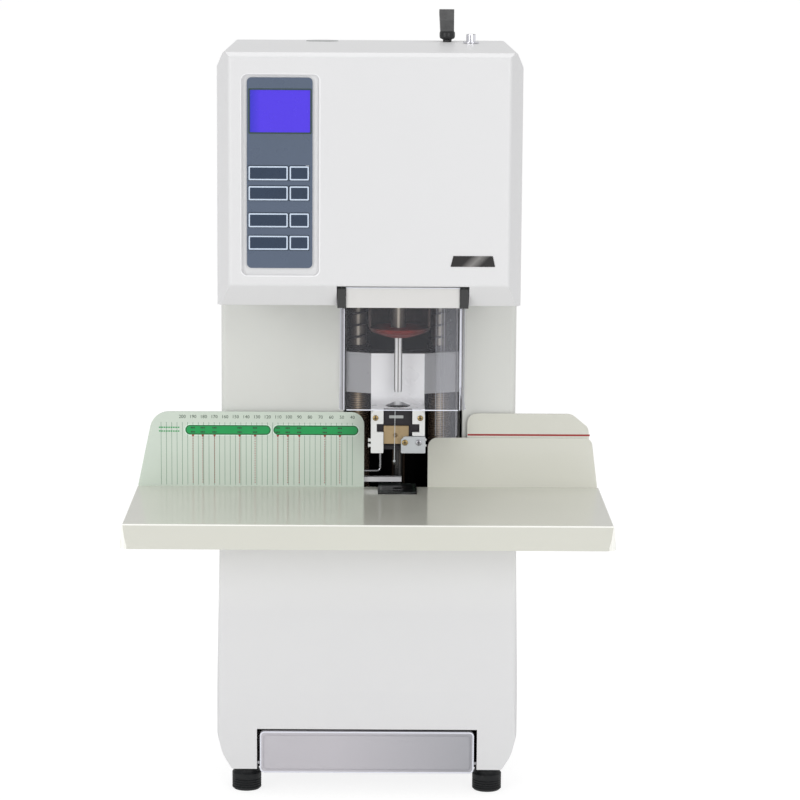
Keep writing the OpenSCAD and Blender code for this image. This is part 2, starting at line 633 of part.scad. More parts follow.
module press_yoke() color("gray") difference() {
    x0 = column_x[0] - 9.5;
    x1 = column_x[1] + 9.5;
    y0 = columns_y - 11;
    y1 = columns_y + 13;
    neck = panel_y + 3 + seat;
    along_z(yoke_low, yoke_top) polygon(rounded([[x0, y0, 8], [unit_x0 + 4, y0, 2], [unit_x0 + 6, neck, 2],
        [unit_x1 - 6, neck, 2], [unit_x1 - 4, y0, 2], [x1, y0, 8], [x1, y1, 8], [x0, y1, 8]]));
    for (x = column_x) post(x, columns_y, yoke_low - 1, yoke_top + 1, bore_d);
    post(bay_mid, columns_y, yoke_low - 1, yoke_top - 8, press_rod_d + 2 * run);
}
unit_y = drill_y - 24;
block_y = unit_y + 4;
shelf_t = 1.5;
foot_low = table_top + 42;
wing_t = 2;
bracket_w = 11.6;
// Notch in the front of the shelf, filled by the lip of the heater block
lip_x = [unit_x0 + bracket_w, unit_x1 - bracket_w];
lip_t = 2.6;
module bay_cover() color("gainsboro") difference() {
    r = 8;
    back = panel_y + 3;
    union() {
        block([unit_x0, block_y, shelf_z - shelf_t], [unit_x1, panel_y + 2, shelf_z]);
        block([unit_x0, panel_y, shelf_z - 0.5], [unit_x1, back, cover_top]);
        along_x(unit_x0, unit_x1) polygon(concat([[panel_y + 1, shelf_z - 1], [panel_y + 1, shelf_z + r]],
            [for (i = [0:8]) [panel_y - r + r * cos(i * 11.25), shelf_z + r - r * sin(i * 11.25)]],
            [[panel_y - r, shelf_z - 1]]));
        along_z(shelf_z + 9, cover_top) {
            polygon([[unit_x0, panel_y], [unit_x0, back], [bay_left + 1, wing_y + wing_t], [bay_left + 1, wing_y]]);
            polygon([[unit_x1, panel_y], [bay_right - 1, wing_y + 2], [bay_right - 1, wing_y + 2 + wing_t],
                [unit_x1, back]]);
        }
    }
    post(drill_x, drill_y, shelf_z - shelf_t - 1, shelf_z + 10, 23);
    block([lip_x[0], block_y - 1, shelf_z - shelf_t - 1], [lip_x[1], block_y + lip_t, shelf_z + 1]);
}
notch_z = table_top + 58.7;
notch_h = 7.7;
// Front plate of a bracket, seen from the front with its outer edge at 0: notched on its inner edge
module bracket(low, notch) difference() {
    top = shelf_z - seat;
    along_y(unit_y, unit_y + 3.7) difference() {
        polygon(rounded([[0, low, 0.8], [bracket_w, low, 0.8], [bracket_w, top, 0.5], [3.4, top, 1.5],
            [0, shelf_z - 4.6, 1.5]]));
        translate([bracket_w - notch, notch_z]) square([notch + 1, notch_h]);
    }
    hole_y(4.3, shelf_z - 6.8, unit_y - 1, unit_y + 5, 3.2);
}
module press_brackets() color("white") {
    translate([unit_x0, 0, 0]) bracket(table_top + 39, 6.2);
    translate([unit_x1, 0, 0]) mirror([1, 0, 0]) bracket(notch_z - 3.4, 6.6);
    for (x = [unit_x0, unit_x1 - arm_t])
        block([x, unit_y + 3.5, shelf_z - 26], [x + arm_t, block_y + 16, shelf_z - shelf_t - seat]);
}
arm_t = 3;
heater_x = [unit_x0 + arm_t + seat, unit_x1 - arm_t - seat];
heater_low = table_top + 46;
module heater_block() color([0.25, 0.25, 0.28]) difference() {
    union() {
        block([heater_x[0], block_y + seat, heater_low], [heater_x[1], drill_y - 1, shelf_z - shelf_t - seat]);
        block([lip_x[0] + seat, block_y + seat, shelf_z - 5], [lip_x[1] - seat, block_y + lip_t - seat, shelf_z]);
    }
    block([unit_x0 + bracket_w, block_y - 1, heater_low - 1], [drill_x + 10.3, block_y + 2, notch_z + 6]);
    post(drill_x, drill_y, heater_low - 1, shelf_z, 19);
    post(punch_x, punch_y, heater_low - 1, shelf_z, punch_d + 0.5);
}
module insulator_block() color([0.72, 0.6, 0.45]) difference() {
    block([unit_x0 + bracket_w + seat, unit_y + 2, table_top + 47.6],
        [drill_x + 9.9, block_y + 2 - seat, notch_z + 5.6]);
    hole_y(drill_x - 2.4, table_top + 55.6, unit_y, unit_y + 5, 4.2);
}
module keeper_plate() color("silver") difference() {
    x0 = unit_x1 - 22;
    x1 = unit_x1 + 0.6;
    z0 = table_top + 39.4;
    z1 = notch_z - 3.8;
    along_y(unit_y - 2, unit_y + 2 - seat)
        polygon(rounded([[x0, z0, 1], [x1, z0, 1], [x1, z1, 1], [x0 + 3, z1, 1], [x0, notch_z - 7, 1]]));
    for (x = [unit_x1 - 18.4, unit_x1 - 5.6]) hole_y(x, z0 + 10, unit_y - 3, unit_y + 3, 3.2);
}
module press_foot() color([0.2, 0.2, 0.22]) difference() {
    union() {
        block([unit_x0 + bracket_w, block_y, foot_low], [unit_x1 - 11, drill_y + 13, heater_low - seat]);
        for (x = [unit_x0 + bracket_w, unit_x1 - 15])
            block([x, drill_y + 10.5, heater_low - 1], [x + 4, drill_y + 13, shelf_z - shelf_t - seat]);
    }
    post(drill_x, drill_y, foot_low - 1, heater_low + 1, quill_d + 2);
    post(punch_x, punch_y, foot_low - 1, heater_low + 1, punch_d + 2 * run);
}
module press_rod() color("silver")
    post(bay_mid, columns_y, base_top - 90, yoke_top - 8 - seat, press_rod_d);
module punch_rod() color("silver") {
    tip = table_top + 24;
    post(punch_x, punch_y, tip + 3, heater_low + 22, punch_d);
    post(punch_x, punch_y, tip + 0.5, tip + 4, 2);
    translate([punch_x, punch_y, tip]) sphere(d = 3);
}

// ---- fixed parts round the drill ----

ring_h = 9.5;
ring_top = quill_low + 3.2;
module seal_ring() color("firebrick") translate([drill_x + 1, drill_y, ring_top - ring_h]) difference() {
    rotate_extrude() polygon([[0, 0], [9, 0], [14, 1.2], [26, 5.4], [28, 7], [28, ring_h], [0, ring_h]]);
    translate([-1, 0, -1]) cylinder(d = quill_d + loose, h = ring_h + 2);
}
module drill_shroud() color([0.22, 0.17, 0.16]) translate([drill_x + 1, drill_y, 0]) difference() {
    post(0, 0, ring_top + seat, plate_low - seat, 58);
    post(0, 0, ring_top - 1, plate_low + 1, 54);
    block([-40, -40, ring_top - 1], [40, -6, plate_low + 1]);
}
module clear_guide() color([0.85, 0.9, 0.95, 0.35]) {
    x0 = unit_x1 + 10;
    x1 = shield_x[1] - shield_t - loose;
    along_z(table_top + 50, plate_low - seat) difference() {
        pad2d([x0, drill_y - 4], [x1, drill_y + 8], 4);
        pad2d([x0 + 1.2, drill_y - 2.8], [x1 - 1.2, drill_y + 9], 3);
    }
}
module press_actuator() difference() {
    union() {
        post(bay_mid, columns_y, drawer_top + 32, base_top - bed_t - seat, 48);
        block([bay_mid - 30, columns_y - 30, base_top - bed_t - 8],
            [bay_mid + 30, columns_y + 30, base_top - bed_t - seat]);
    }
    post(bay_mid, columns_y, drawer_top + 50, base_top, press_rod_d + 1);
}
module feed_actuator() difference() {
    post(feed_x, feed_y, plate_low - drill_travel - 8, plate_low - seat, 26);
    post(feed_x, feed_y, plate_low - drill_travel, plate_low + 1, feed_rod_d + 1);
}
module actuators() color("dimgray") {
    press_actuator();
    feed_actuator();
}
chute_wall = 1.5;
module chip_chute() color("silver") difference() {
    block([chute_x[0], chute_y[0], drawer_top + 3], [chute_x[1], chute_y[1], carriage_low - 40]);
    block([chute_x[0] + chute_wall, chute_y[0] + chute_wall, drawer_top],
        [chute_x[1] - chute_wall, chute_y[1] - chute_wall, head_top]);
}
module power_inlet() color("black") difference() {
    union() {
        along_y(back_y - 24, back_y) pad2d(socket_pos - socket_size / 2, socket_pos + socket_size / 2, 2);
        along_y(back_y - 3.4, back_y - 1.5 - seat)
            pad2d(socket_pos - socket_size / 2 - [4, 3], rocker_pos + rocker_size / 2 + [8, 4], 3);
        along_y(back_y - 22, back_y - 3) pad2d(rocker_pos - rocker_size / 2, rocker_pos + rocker_size / 2, 1);
    }
    along_y(back_y - 16, back_y + 1) pad2d(socket_pos - [10.5, 7], socket_pos + [10.5, 7], 3);
    along_y(back_y - 12, back_y + 1)
        pad2d(rocker_pos - rocker_size / 2 + [1.2, 1.2], rocker_pos + rocker_size / 2 - [1.2, 1.2], 0.8);
}
rocker_pin_y = back_y - 4;
rocker_tilt = 9;
rocker_half = rocker_size[0] / 2 - 1.5;
module power_rocker() color("darkred") translate([0, rocker_pin_y, rocker_pos[1]]) rotate([-rocker_tilt, 0, 0])
    along_x(rocker_pos[0] - rocker_half, rocker_pos[0] + rocker_half) polygon(rounded([[-4, -2.4, 1],
        [-4, 2.4, 1], [0, 4.4, 1], [2.6, 4.2, 0.6], [1.2, 0, 6], [2.6, -4.2, 0.6], [0, -4.4, 1]]));

// ---- drill head ----

carriage_top = carriage_low + carriage_t;
module drill_carriage() color("gray") difference() {
    z0 = carriage_low - 1;
    z1 = carriage_top + 1;
    block([bay_left - 2, drill_y - 22, carriage_low], [bay_right + 2, shell_back - 20, carriage_top]);
    for (x = column_x) post(x, columns_y, z0, z1, bore_d);
    post(drill_x, drill_y, z0, z1, quill_d + 2 * run);
    post(bay_mid, motor_y, z0, z1, 14);
    post(feed_x, feed_y, z0, carriage_top - 4, feed_rod_d + 2 * run);
}
module quill() color("silver") difference() {
    union() {
        post(drill_x, drill_y, quill_low, carriage_top, quill_d);
        post(drill_x, drill_y, carriage_low - 6 - seat, carriage_low - seat, quill_d + 12);
    }
    post(drill_x, drill_y, quill_low - 1, carriage_top + 1, shaft_d + 2 * run);
}
module hollow_drill() color("silver") translate([drill_x, drill_y, drill_tip]) rotate_extrude() {
    bore = drill_bore / 2;
    r = drill_d / 2;
    shaft = shaft_d / 2;
    low = pulley_z - drill_tip;
    top = low + pulley_h;
    polygon([[bore, 0], [r - 0.4, 0], [r, 3], [r, drill_len - 3], [shaft, drill_len - 1], [shaft, low],
        [pulley_r + 1.5, low], [pulley_r, low + 1.5], [pulley_r, top - 1.5], [pulley_r + 1.5, top],
        [shaft, top], [shaft, top + 4], [bore, top + 4]]);
}
module drill_motor() color("darkslategray") {
    post(bay_mid, motor_y, carriage_low - 70, carriage_low - seat, motor_d);
    post(bay_mid, motor_y, carriage_low - 74, carriage_low - 69, 20);
}
module motor_pulley() color("silver") translate([bay_mid, motor_y, pulley_z]) rotate_extrude() polygon([
    [0, -carriage_t - 1], [4, -carriage_t - 1], [4, 0], [pulley_r + 1.5, 0], [pulley_r, 1.5],
    [pulley_r, pulley_h - 1.5], [pulley_r + 1.5, pulley_h], [5, pulley_h], [5, pulley_h + 3], [0, pulley_h + 3]]);
module belt_loop(r) {
    a = [drill_x, drill_y];
    b = [bay_mid, motor_y];
    d = b - a;
    translate(a) rotate(atan2(d[1], d[0])) pad2d([-r, -r], [norm(d) + r, r], r - 0.01);
}
module drive_belt() color([0.1, 0.1, 0.1]) along_z(pulley_z + 2.5, pulley_z + pulley_h - 2.5) difference() {
    belt_loop(pulley_r + seat + 1.6);
    belt_loop(pulley_r + seat);
}
module feed_rod() color("silver") post(feed_x, feed_y, plate_low + 10, carriage_top - 4 - seat, feed_rod_d);

base_shell();
base_plate();
feet();
chip_drawer();
work_table();
pad_block();
ruler_fence();
plain_fence();
limit_plate();
back_stop();
column_shell();
rear_cover();
head_shell();
keypad_panel();
display_window();
control_board();
frame_sides();
lower_bed();
cross_plates();
guide_columns();
drill_shroud();
seal_ring();
clear_guide();
hinge_clips();
tube_inlet();
actuators();
power_inlet();
power_rocker();
chip_chute();
color("gray") spring(0, yoke_top + seat, plate_low - seat, upper_turns);  // upper_spring_left
color("gray") spring(1, yoke_top + seat, plate_low - seat, upper_turns);  // upper_spring_right
color("gray") spring(0, base_top + seat, yoke_low - seat, lower_turns);  // lower_spring_left
color("gray") spring(1, base_top + seat, yoke_low - seat, lower_turns);  // lower_spring_right
shield();
shield_bar();
press_yoke();
bay_cover();
press_brackets();
heater_block();
insulator_block();
keeper_plate();
press_foot();
press_rod();
punch_rod();
drill_carriage();
quill();
drill_motor();
feed_rod();
drive_belt();
hollow_drill();
motor_pulley();
clamp_lever();
key(0);  // key_1
key(1);  // key_2
key(2);  // key_3
key(3);  // key_4
key(4);  // key_5
key(5);  // key_6
key(6);  // key_7
key(7);  // key_8
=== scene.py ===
"""Looks of the document riveting machine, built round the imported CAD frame.

Metres, +X right, +Y back, +Z up. The pieces made here are given in mm.
"""

import json
import math

import bpy
from mathutils import Euler, Matrix, Vector

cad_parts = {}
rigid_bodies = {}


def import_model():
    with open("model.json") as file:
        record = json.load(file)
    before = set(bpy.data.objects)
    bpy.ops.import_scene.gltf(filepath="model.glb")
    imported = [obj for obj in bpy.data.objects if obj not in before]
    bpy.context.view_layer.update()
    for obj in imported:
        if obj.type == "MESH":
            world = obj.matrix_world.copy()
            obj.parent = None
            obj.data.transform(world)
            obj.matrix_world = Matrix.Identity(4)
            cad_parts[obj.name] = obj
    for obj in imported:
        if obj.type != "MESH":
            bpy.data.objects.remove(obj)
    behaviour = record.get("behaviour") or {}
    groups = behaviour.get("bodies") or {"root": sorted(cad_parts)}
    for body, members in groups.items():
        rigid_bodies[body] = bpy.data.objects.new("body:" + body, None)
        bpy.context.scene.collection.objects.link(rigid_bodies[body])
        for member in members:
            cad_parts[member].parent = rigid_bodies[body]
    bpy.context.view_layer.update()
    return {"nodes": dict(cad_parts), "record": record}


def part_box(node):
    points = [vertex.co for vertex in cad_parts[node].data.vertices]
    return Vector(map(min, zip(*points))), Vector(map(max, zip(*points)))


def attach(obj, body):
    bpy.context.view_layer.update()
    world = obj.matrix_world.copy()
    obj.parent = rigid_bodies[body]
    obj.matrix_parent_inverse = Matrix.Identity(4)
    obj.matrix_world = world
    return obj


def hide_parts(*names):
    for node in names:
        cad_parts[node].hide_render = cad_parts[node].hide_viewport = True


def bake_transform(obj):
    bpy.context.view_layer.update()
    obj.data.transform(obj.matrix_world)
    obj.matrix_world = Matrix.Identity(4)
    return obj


for spare in list(bpy.data.objects):
    bpy.data.objects.remove(spare)
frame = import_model()
NODES = frame["nodes"]
MM = 0.001


# ---------------------------------------------------------------- materials


def lin(r, g, b):
    """A colour given as 0 to 255 display values, as linear RGBA."""
    shares = [c / 255 for c in (r, g, b)]
    return tuple(s / 12.92 if s < 0.04 else ((s + 0.055) / 1.055) ** 2.4 for s in shares) + (1.0,)


def node(tree, kind, **values):
    """A new shader node; values name its sockets or its settings."""
    made = tree.nodes.new(kind)
    for name, value in values.items():
        if name in made.inputs:
            made.inputs[name].default_value = value
        else:
            setattr(made, name, value)
    return made


def noise_factor(tree, coords, scale, stretch=(1, 1, 1), detail=3.0):
    """A noise in object space, with its space stretched to make streaks."""
    mapping = node(tree, "ShaderNodeMapping")
    mapping.inputs["Scale"].default_value = stretch
    tree.links.new(coords.outputs["Object"], mapping.inputs["Vector"])
    noise = node(tree, "ShaderNodeTexNoise", Scale=scale, Detail=detail)
    tree.links.new(mapping.outputs["Vector"], noise.inputs["Vector"])
    return noise.outputs["Fac"]


def ranged(tree, factor, low, high, start=0.3, end=0.7):
    """A factor that runs from start to end, turned into one that runs from low to high."""
    span = node(tree, "ShaderNodeMapRange")
    for key, value in (("From Min", start), ("From Max", end), ("To Min", low), ("To Max", high)):
        span.inputs[key].default_value = value
    tree.links.new(factor, span.inputs["Value"])
    return span.outputs["Result"]


def material(
    name,
    colour,
    rough=0.4,
    spread=0.06,
    mottle=0.03,
    mottle_scale=18.0,
    grain=0.03,
    grain_scale=900.0,
    stretch=(1, 1, 1),
    **sockets,
):
    """A Principled material whose colour, roughness and bump come from noises of their own scales."""
    mat = bpy.data.materials.new(name)
    mat.use_nodes = True
    tree = mat.node_tree
    shader = tree.nodes["Principled BSDF"]
    coords = node(tree, "ShaderNodeTexCoord")
    base = lin(*colour)
    tint = node(tree, "ShaderNodeValToRGB")
    ends = tint.color_ramp.elements
    ends[0].position, ends[1].position = 0.3, 0.7
    ends[0].color = tuple(c * (1 - mottle) for c in base[:3]) + (1,)
    ends[1].color = tuple(min(1, c * (1 + mottle)) for c in base[:3]) + (1,)
    tree.links.new(noise_factor(tree, coords, mottle_scale, stretch), tint.inputs["Fac"])
    tree.links.new(tint.outputs["Color"], shader.inputs["Base Color"])
    smudge = noise_factor(tree, coords, mottle_scale * 2.7, stretch)
    tree.links.new(ranged(tree, smudge, max(0.02, rough - spread), rough + spread), shader.inputs["Roughness"])
    if grain:
        bump = node(tree, "ShaderNodeBump", Strength=grain, Distance=0.0004)
        tree.links.new(noise_factor(tree, coords, grain_scale, stretch, 2.0), bump.inputs["Height"])
        tree.links.new(bump.outputs["Normal"], shader.inputs["Normal"])
    for key, value in sockets.items():
        shader.inputs[key.replace("_", " ")].default_value = value
    return mat


def clear_material(name, alpha, rough, shine):
    """Clear acrylic as a thin coat that shows mostly what is behind it."""
    mat = material(name, (228, 230, 240), rough, 0.01, 0.02, 9.0, 0.0, Specular_IOR_Level=shine)
    mat.node_tree.nodes["Principled BSDF"].inputs["Alpha"].default_value = alpha
    return mat


def math_node(tree, operation, a, b=None):
    """The output of a Math node over one or two factors."""
    made = node(tree, "ShaderNodeMath", operation=operation)
    tree.links.new(a, made.inputs[0])
    if b is not None:
        tree.links.new(b, made.inputs[1])
    return made.outputs[0]


def normal_parts(tree):
    """The sizes of the normal's X, Y and Z."""
    split = node(tree, "ShaderNodeSeparateXYZ")
    tree.links.new(node(tree, "ShaderNodeNewGeometry").outputs["Normal"], split.inputs["Vector"])
    return [math_node(tree, "ABSOLUTE", split.outputs[i]) for i in range(3)]


def place_part(tree, axis):
    """One coordinate of the shaded point at rest, in metres."""
    split = node(tree, "ShaderNodeSeparateXYZ")
    tree.links.new(node(tree, "ShaderNodeTexCoord").outputs["Object"], split.inputs["Vector"])
    return split.outputs[axis]


# The Mix node has sockets of the same name for each kind of data; these are its colour ones
MIX_FACTOR, MIX_A, MIX_B, MIX_RESULT = 0, 6, 7, 2


def tint_over(mat, factor, colour, glow=0.0):
    """Painted light and shade: another colour laid over a material's own by a factor, with a painted glow when
    glow isn't 0.
    """
    tree = mat.node_tree
    shader = tree.nodes["Principled BSDF"]
    mix = node(tree, "ShaderNodeMix", data_type="RGBA")
    tree.links.new(shader.inputs["Base Color"].links[0].from_socket, mix.inputs[MIX_A])
    mix.inputs[MIX_B].default_value = lin(*colour)
    tree.links.new(factor, mix.inputs[MIX_FACTOR])
    tree.links.new(mix.outputs[MIX_RESULT], shader.inputs["Base Color"])
    if glow:
        shader.inputs["Emission Color"].default_value = lin(*colour)
        tree.links.new(ranged(tree, factor, 0.0, glow, 0.0, 1.0), shader.inputs["Emission Strength"])


def paint_shading_along(mat, axis, start, end, colour):
    """A tint of painted light and shade that sets in along an axis, from start to end in metres."""
    tree = mat.node_tree
    tint_over(mat, ranged(tree, place_part(tree, axis), 0.0, 1.0, start, end), colour)


# A face whose normal lies less than the first share along one axis is an edge, and above the second it is flat
EDGE_TURN, FLAT_TURN = 0.9, 0.985


def paint_edge_highlights(mat):
    """Painted highlights: slanting faces, which are the rounded edges, get a paler colour and a faint glow."""
    tree = mat.node_tree
    x, y, z = normal_parts(tree)
    most = math_node(tree, "MAXIMUM", math_node(tree, "MAXIMUM", x, y), z)
    tint_over(mat, ranged(tree, most, 1.0, 0.0, EDGE_TURN, FLAT_TURN), (250, 250, 244), 0.12)


def paint_bar_shading(mat, stops):
    """A turned bar or wire with a painted highlight and painted shade, set by how far a face turns to the
    side.

    The stops are (turn, colour), with the two ends of the ramp first.
    """
    tree = mat.node_tree
    ramp = node(tree, "ShaderNodeValToRGB")
    ends = ramp.color_ramp.elements
    for i, (at, colour) in enumerate(stops):
        stop = ends[i] if i < 2 else ends.new(at)
        stop.position, stop.color = at, lin(*colour)
    tree.links.new(normal_parts(tree)[0], ramp.inputs["Fac"])
    tree.links.new(ramp.outputs["Color"], tree.nodes["Principled BSDF"].inputs["Base Color"])


def screen_material():
    """A backlit display: violet with a bluer left edge."""
    mat = material("display_glow", (76, 54, 226), 0.25, 0.03, 0.05, 60.0, 0.0)
    tree = mat.node_tree
    shader = tree.nodes["Principled BSDF"]
    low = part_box("display_window")[0]
    edge = ranged(tree, place_part(tree, "X"), 0.0, 1.0, low[0], low[0] + 10 * MM)
    ramp = node(tree, "ShaderNodeValToRGB")
    ramp.color_ramp.elements[0].color = lin(42, 40, 190)
    ramp.color_ramp.elements[1].color = lin(74, 48, 220)
    tree.links.new(edge, ramp.inputs["Fac"])
    tree.links.new(ramp.outputs["Color"], shader.inputs["Base Color"])
    tree.links.new(ramp.outputs["Color"], shader.inputs["Emission Color"])
    shader.inputs["Emission Strength"].default_value = 0.12
    return mat


def print_ink(name, colour, rough=0.4, mottle=0.05):
    """A flat print on a panel or fence."""
    return material(name, colour, rough, 0.05, mottle, 60.0, 0.0)


def clear_edge(name, colour, rough=0.3):
    """A painted line at an edge of clear acrylic; the pale ones are painted highlights, the dark one painted
    shade.
    """
    return material(name, colour, rough, 0.03, 0.02, 60.0, 0.0)


# Stretches that lay the mottle out as streaks along an axis
BRUSH_X = (0.06, 1, 1)
BRUSH_Z = (1, 1, 0.05)
# Material slots of the record
M = {
    "shell_white": material("moulded_white", (228, 228, 229), 0.34, 0.012, 0.006, 5.0, 0.05, 1400.0),
    "base_white": material("powder_white", (228, 228, 229), 0.42, 0.02, 0.008, 6.0, 0.10, 1600.0),
    "column_grey": material("powder_grey", (222, 223, 219), 0.42, 0.03, 0.01, 8.0, 0.12, 1600.0),
    "table_cream": material(
        "table_enamel", (218, 218, 208), 0.14, 0.02, 0.01, 9.0, 0.05, 1500.0, Coat_Weight=0.3
    ),
    "fence_green": material(
        "fence_print_ground", (210, 221, 209), 0.2, 0.03, 0.02, 22.0, 0.04, 1500.0, Coat_Weight=0.3
    ),
    "dark_steel": material("blackened_steel", (46, 44, 47), 0.4, 0.1, 0.2, 60.0, 0.15, 700.0, Metallic=0.7),
    "steel": material(
        "ground_steel", (168, 168, 172), 0.27, 0.08, 0.07, 90.0, 0.10, 1300.0, BRUSH_X, Metallic=1.0
    ),
    "chrome": material(
        "polished_chrome", (214, 214, 220), 0.1, 0.04, 0.03, 40.0, 0.02, 900.0, BRUSH_Z, Metallic=1.0
    ),
    "aluminium": material(
        "bar_aluminium", (226, 226, 228), 0.3, 0.05, 0.04, 60.0, 0.08, 1300.0, BRUSH_X, Metallic=0.2
    ),
    "cover_grey": material("cover_satin", (238, 238, 241), 0.3, 0.05, 0.02, 16.0, 0.07, 1500.0, Metallic=0.1),
    "bright_white": material("bright_white", (232, 233, 232), 0.3, 0.05, 0.015, 20.0, 0.06, 1500.0),
    "black_plastic": material("black_plastic", (24, 25, 27), 0.36, 0.08, 0.1, 60.0, 0.12, 1100.0),
    "rubber": material(
        "foot_rubber", (16, 18, 20), 0.55, 0.1, 0.15, 90.0, 0.3, 800.0, Specular_IOR_Level=0.3
    ),
    "drawer_lavender": material("drawer_lavender", (197, 194, 200), 0.32, 0.02, 0.01, 8.0, 0.08, 1500.0),
    "panel_slate": material("panel_film", (84, 97, 117), 0.3, 0.05, 0.02, 20.0, 0.10, 1900.0),
    "key_navy": material("key_film", (30, 50, 74), 0.3, 0.05, 0.05, 60.0, 0.10, 1900.0),
    "screen_blue": screen_material(),
    "red_rubber": material(
        "red_guard", (112, 34, 28), 0.5, 0.07, 0.2, 120.0, 0.08, 700.0, Specular_IOR_Level=0.15
    ),
    "phenolic": material("phenolic_board", (168, 145, 108), 0.5, 0.08, 0.08, 160.0, 0.16, 900.0, BRUSH_Z),
    "board_green": material("board_green", (24, 88, 52), 0.35, 0.06, 0.15, 160.0, 0.1, 900.0),
    "belt_black": material("belt_rubber", (20, 20, 22), 0.6, 0.08, 0.12, 120.0, 0.3, 900.0),
    "red_plastic": material("rocker_red", (150, 20, 16), 0.25, 0.05, 0.05, 60.0, 0.05, 900.0),
    "clear": clear_material("clear_acrylic", 0.03, 0.04, 0.22),
}
# Looks of single nodes and of the pieces made here
M.update(
    print_green=print_ink("print_green", (14, 160, 82), 0.35),
    print_line=print_ink("print_line", (84, 132, 104)),
    print_dark=print_ink("print_dark", (38, 66, 44)),
    print_light=print_ink("print_light", (226, 244, 232), mottle=0.03),
    print_red=print_ink("print_red", (158, 38, 36)),
    print_sky=print_ink("print_sky", (206, 220, 238), 0.35, 0.03),
    brass=material("brass", (158, 136, 92), 0.26, 0.08, 0.1, 120.0, 0.1, 900.0, Metallic=1.0),
    spring_steel=material(
        "spring_steel", (118, 98, 82), 0.46, 0.08, 0.15, 200.0, 0.08, 900.0, Specular_IOR_Level=0.3
    ),
    spring_dark=material("spring_dark", (62, 58, 60), 0.32, 0.08, 0.15, 200.0, 0.08, 900.0, Metallic=0.85),
    liner_black=material("liner_black", (3, 3, 3), 0.7, 0.05, 0.2, 60.0, 0.1, 900.0, Specular_IOR_Level=0.1),
    zinc=material(
        "zinc_plate", (190, 194, 197), 0.36, 0.06, 0.05, 60.0, 0.08, 1300.0, BRUSH_X, Metallic=0.3
    ),
    tab_white=material("tab_white", (220, 219, 217), 0.34, 0.03, 0.01, 8.0, 0.05, 1500.0),
    label_grey=material("label_grey", (172, 174, 174), 0.4, 0.04, 0.03, 60.0, 0.0),
    milky=clear_material("clear_milky", 0.11, 0.2, 0.3),
    edge_dark=clear_edge("clear_edge_shadow", (112, 110, 114)),
    edge_mid=clear_edge("clear_edge_mid", (166, 166, 172)),
    edge_light=clear_edge("edge_highlight_paint", (236, 238, 248), 0.12),
    rod_dark=material("rod_dark", (24, 20, 18), 0.4, 0.06, 0.1, 60.0, 0.08, 1300.0, BRUSH_Z),
    shroud_brown=material(
        "shroud_brown", (66, 56, 53), 0.6, 0.06, 0.4, 260.0, 0.2, 700.0, Specular_IOR_Level=0.2
    ),
    column_chrome=material(
        "column_chrome", (120, 112, 104), 0.42, 0.05, 0.05, 60.0, 0.05, 900.0, BRUSH_Z, Specular_IOR_Level=0.25
    ),
    drill_chrome=material("drill_chrome", (214, 214, 220), 0.28, 0.04, 0.03, 40.0, 0.02, 900.0, BRUSH_Z),
    badge_sheen=material("badge_sheen", (22, 20, 20), 0.25, 0.05, 0.1, 60.0, 0.05),
    rim_white=material("rim_white", (248, 248, 250), 0.3, 0.03, 0.01, 8.0, 0.03),
    pad_green=material("pad_green", (40, 50, 44), 0.3, 0.05, 0.1, 60.0, 0.1),
    clip_gloss=material("clip_gloss", (20, 21, 22), 0.14, 0.05, 0.1, 60.0, 0.06, 1100.0, Coat_Weight=0.6),
)
# Painted highlights, reflections and shade across the springs, rods, guide columns and drill
BAR_SHADING_PAINT = {
    "spring_steel": [
        (0.0, (226, 204, 176)),
        (1.0, (40, 34, 30)),
        (0.12, (198, 174, 146)),
        (0.32, (108, 92, 78)),
        (0.7, (70, 58, 50)),
    ],
    "rod_dark": [(0.0, (10, 9, 8)), (1.0, (78, 64, 52)), (0.62, (14, 12, 11)), (0.85, (52, 43, 35))],
    "column_chrome": [
        (0.0, (222, 214, 202)),
        (1.0, (44, 40, 38)),
        (0.1, (206, 196, 184)),
        (0.24, (104, 96, 88)),
        (0.6, (74, 66, 62)),
    ],
    "drill_chrome": [
        (0.0, (96, 92, 92)),
        (1.0, (58, 54, 54)),
        (0.1, (110, 106, 106)),
        (0.2, (238, 238, 240)),
        (0.66, (226, 226, 230)),
        (0.84, (88, 84, 84)),
    ],
}
for look, stops in BAR_SHADING_PAINT.items():
    paint_bar_shading(M[look], stops)
# Painted highlights along the rounded edges of the table and the fences
for look in ("table_cream", "fence_green"):
    paint_edge_highlights(M[look])
# Painted shade: the drawer front darkens towards its right, away from the light on the left
paint_shading_along(M["drawer_lavender"], "X", -0.03, 0.1, (168, 168, 174))
# Painted light: the base's front lightens towards its top, to offset the shadow under the table's lip
paint_shading_along(M["base_white"], "Z", 0.17, 0.245, (244, 244, 243))
# Painted shade: the bay cover's slanting wings are darker than its middle, set by the normal's X
tree = M["cover_grey"].node_tree
tint_over(M["cover_grey"], ranged(tree, normal_parts(tree)[0], 0.0, 1.0, 0.1, 0.36), (152, 152, 156))
# Painted shade: the guard ring darkens away from the drill, towards its sides
DRILL_X = sum(corner[0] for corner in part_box("hollow_drill")) / 2
RING_REACH = 0.03
tree = M["red_rubber"].node_tree
across = ranged(tree, place_part(tree, "X"), -1.0, 1.0, DRILL_X - RING_REACH, DRILL_X + RING_REACH)
off_axis = math_node(tree, "ABSOLUTE", across)
tint_over(M["red_rubber"], ranged(tree, off_axis, 0.0, 1.0, 0.35, 0.9), (58, 44, 42))
# A painted reflection: a pale band slants across the badge, where X - Z * Z lies in a narrow range
BAND = (-0.1657, -0.1457)
tree = M["badge_sheen"].node_tree
square = math_node(tree, "MULTIPLY", place_part(tree, "Z"), place_part(tree, "Z"))
slant = math_node(tree, "SUBTRACT", place_part(tree, "X"), square)
band = math_node(tree, "ABSOLUTE", ranged(tree, slant, -1.0, 1.0, *BAND))
tint_over(M["badge_sheen"], ranged(tree, band, 0.75, 0.0, 0.0, 0.9), (150, 148, 146))

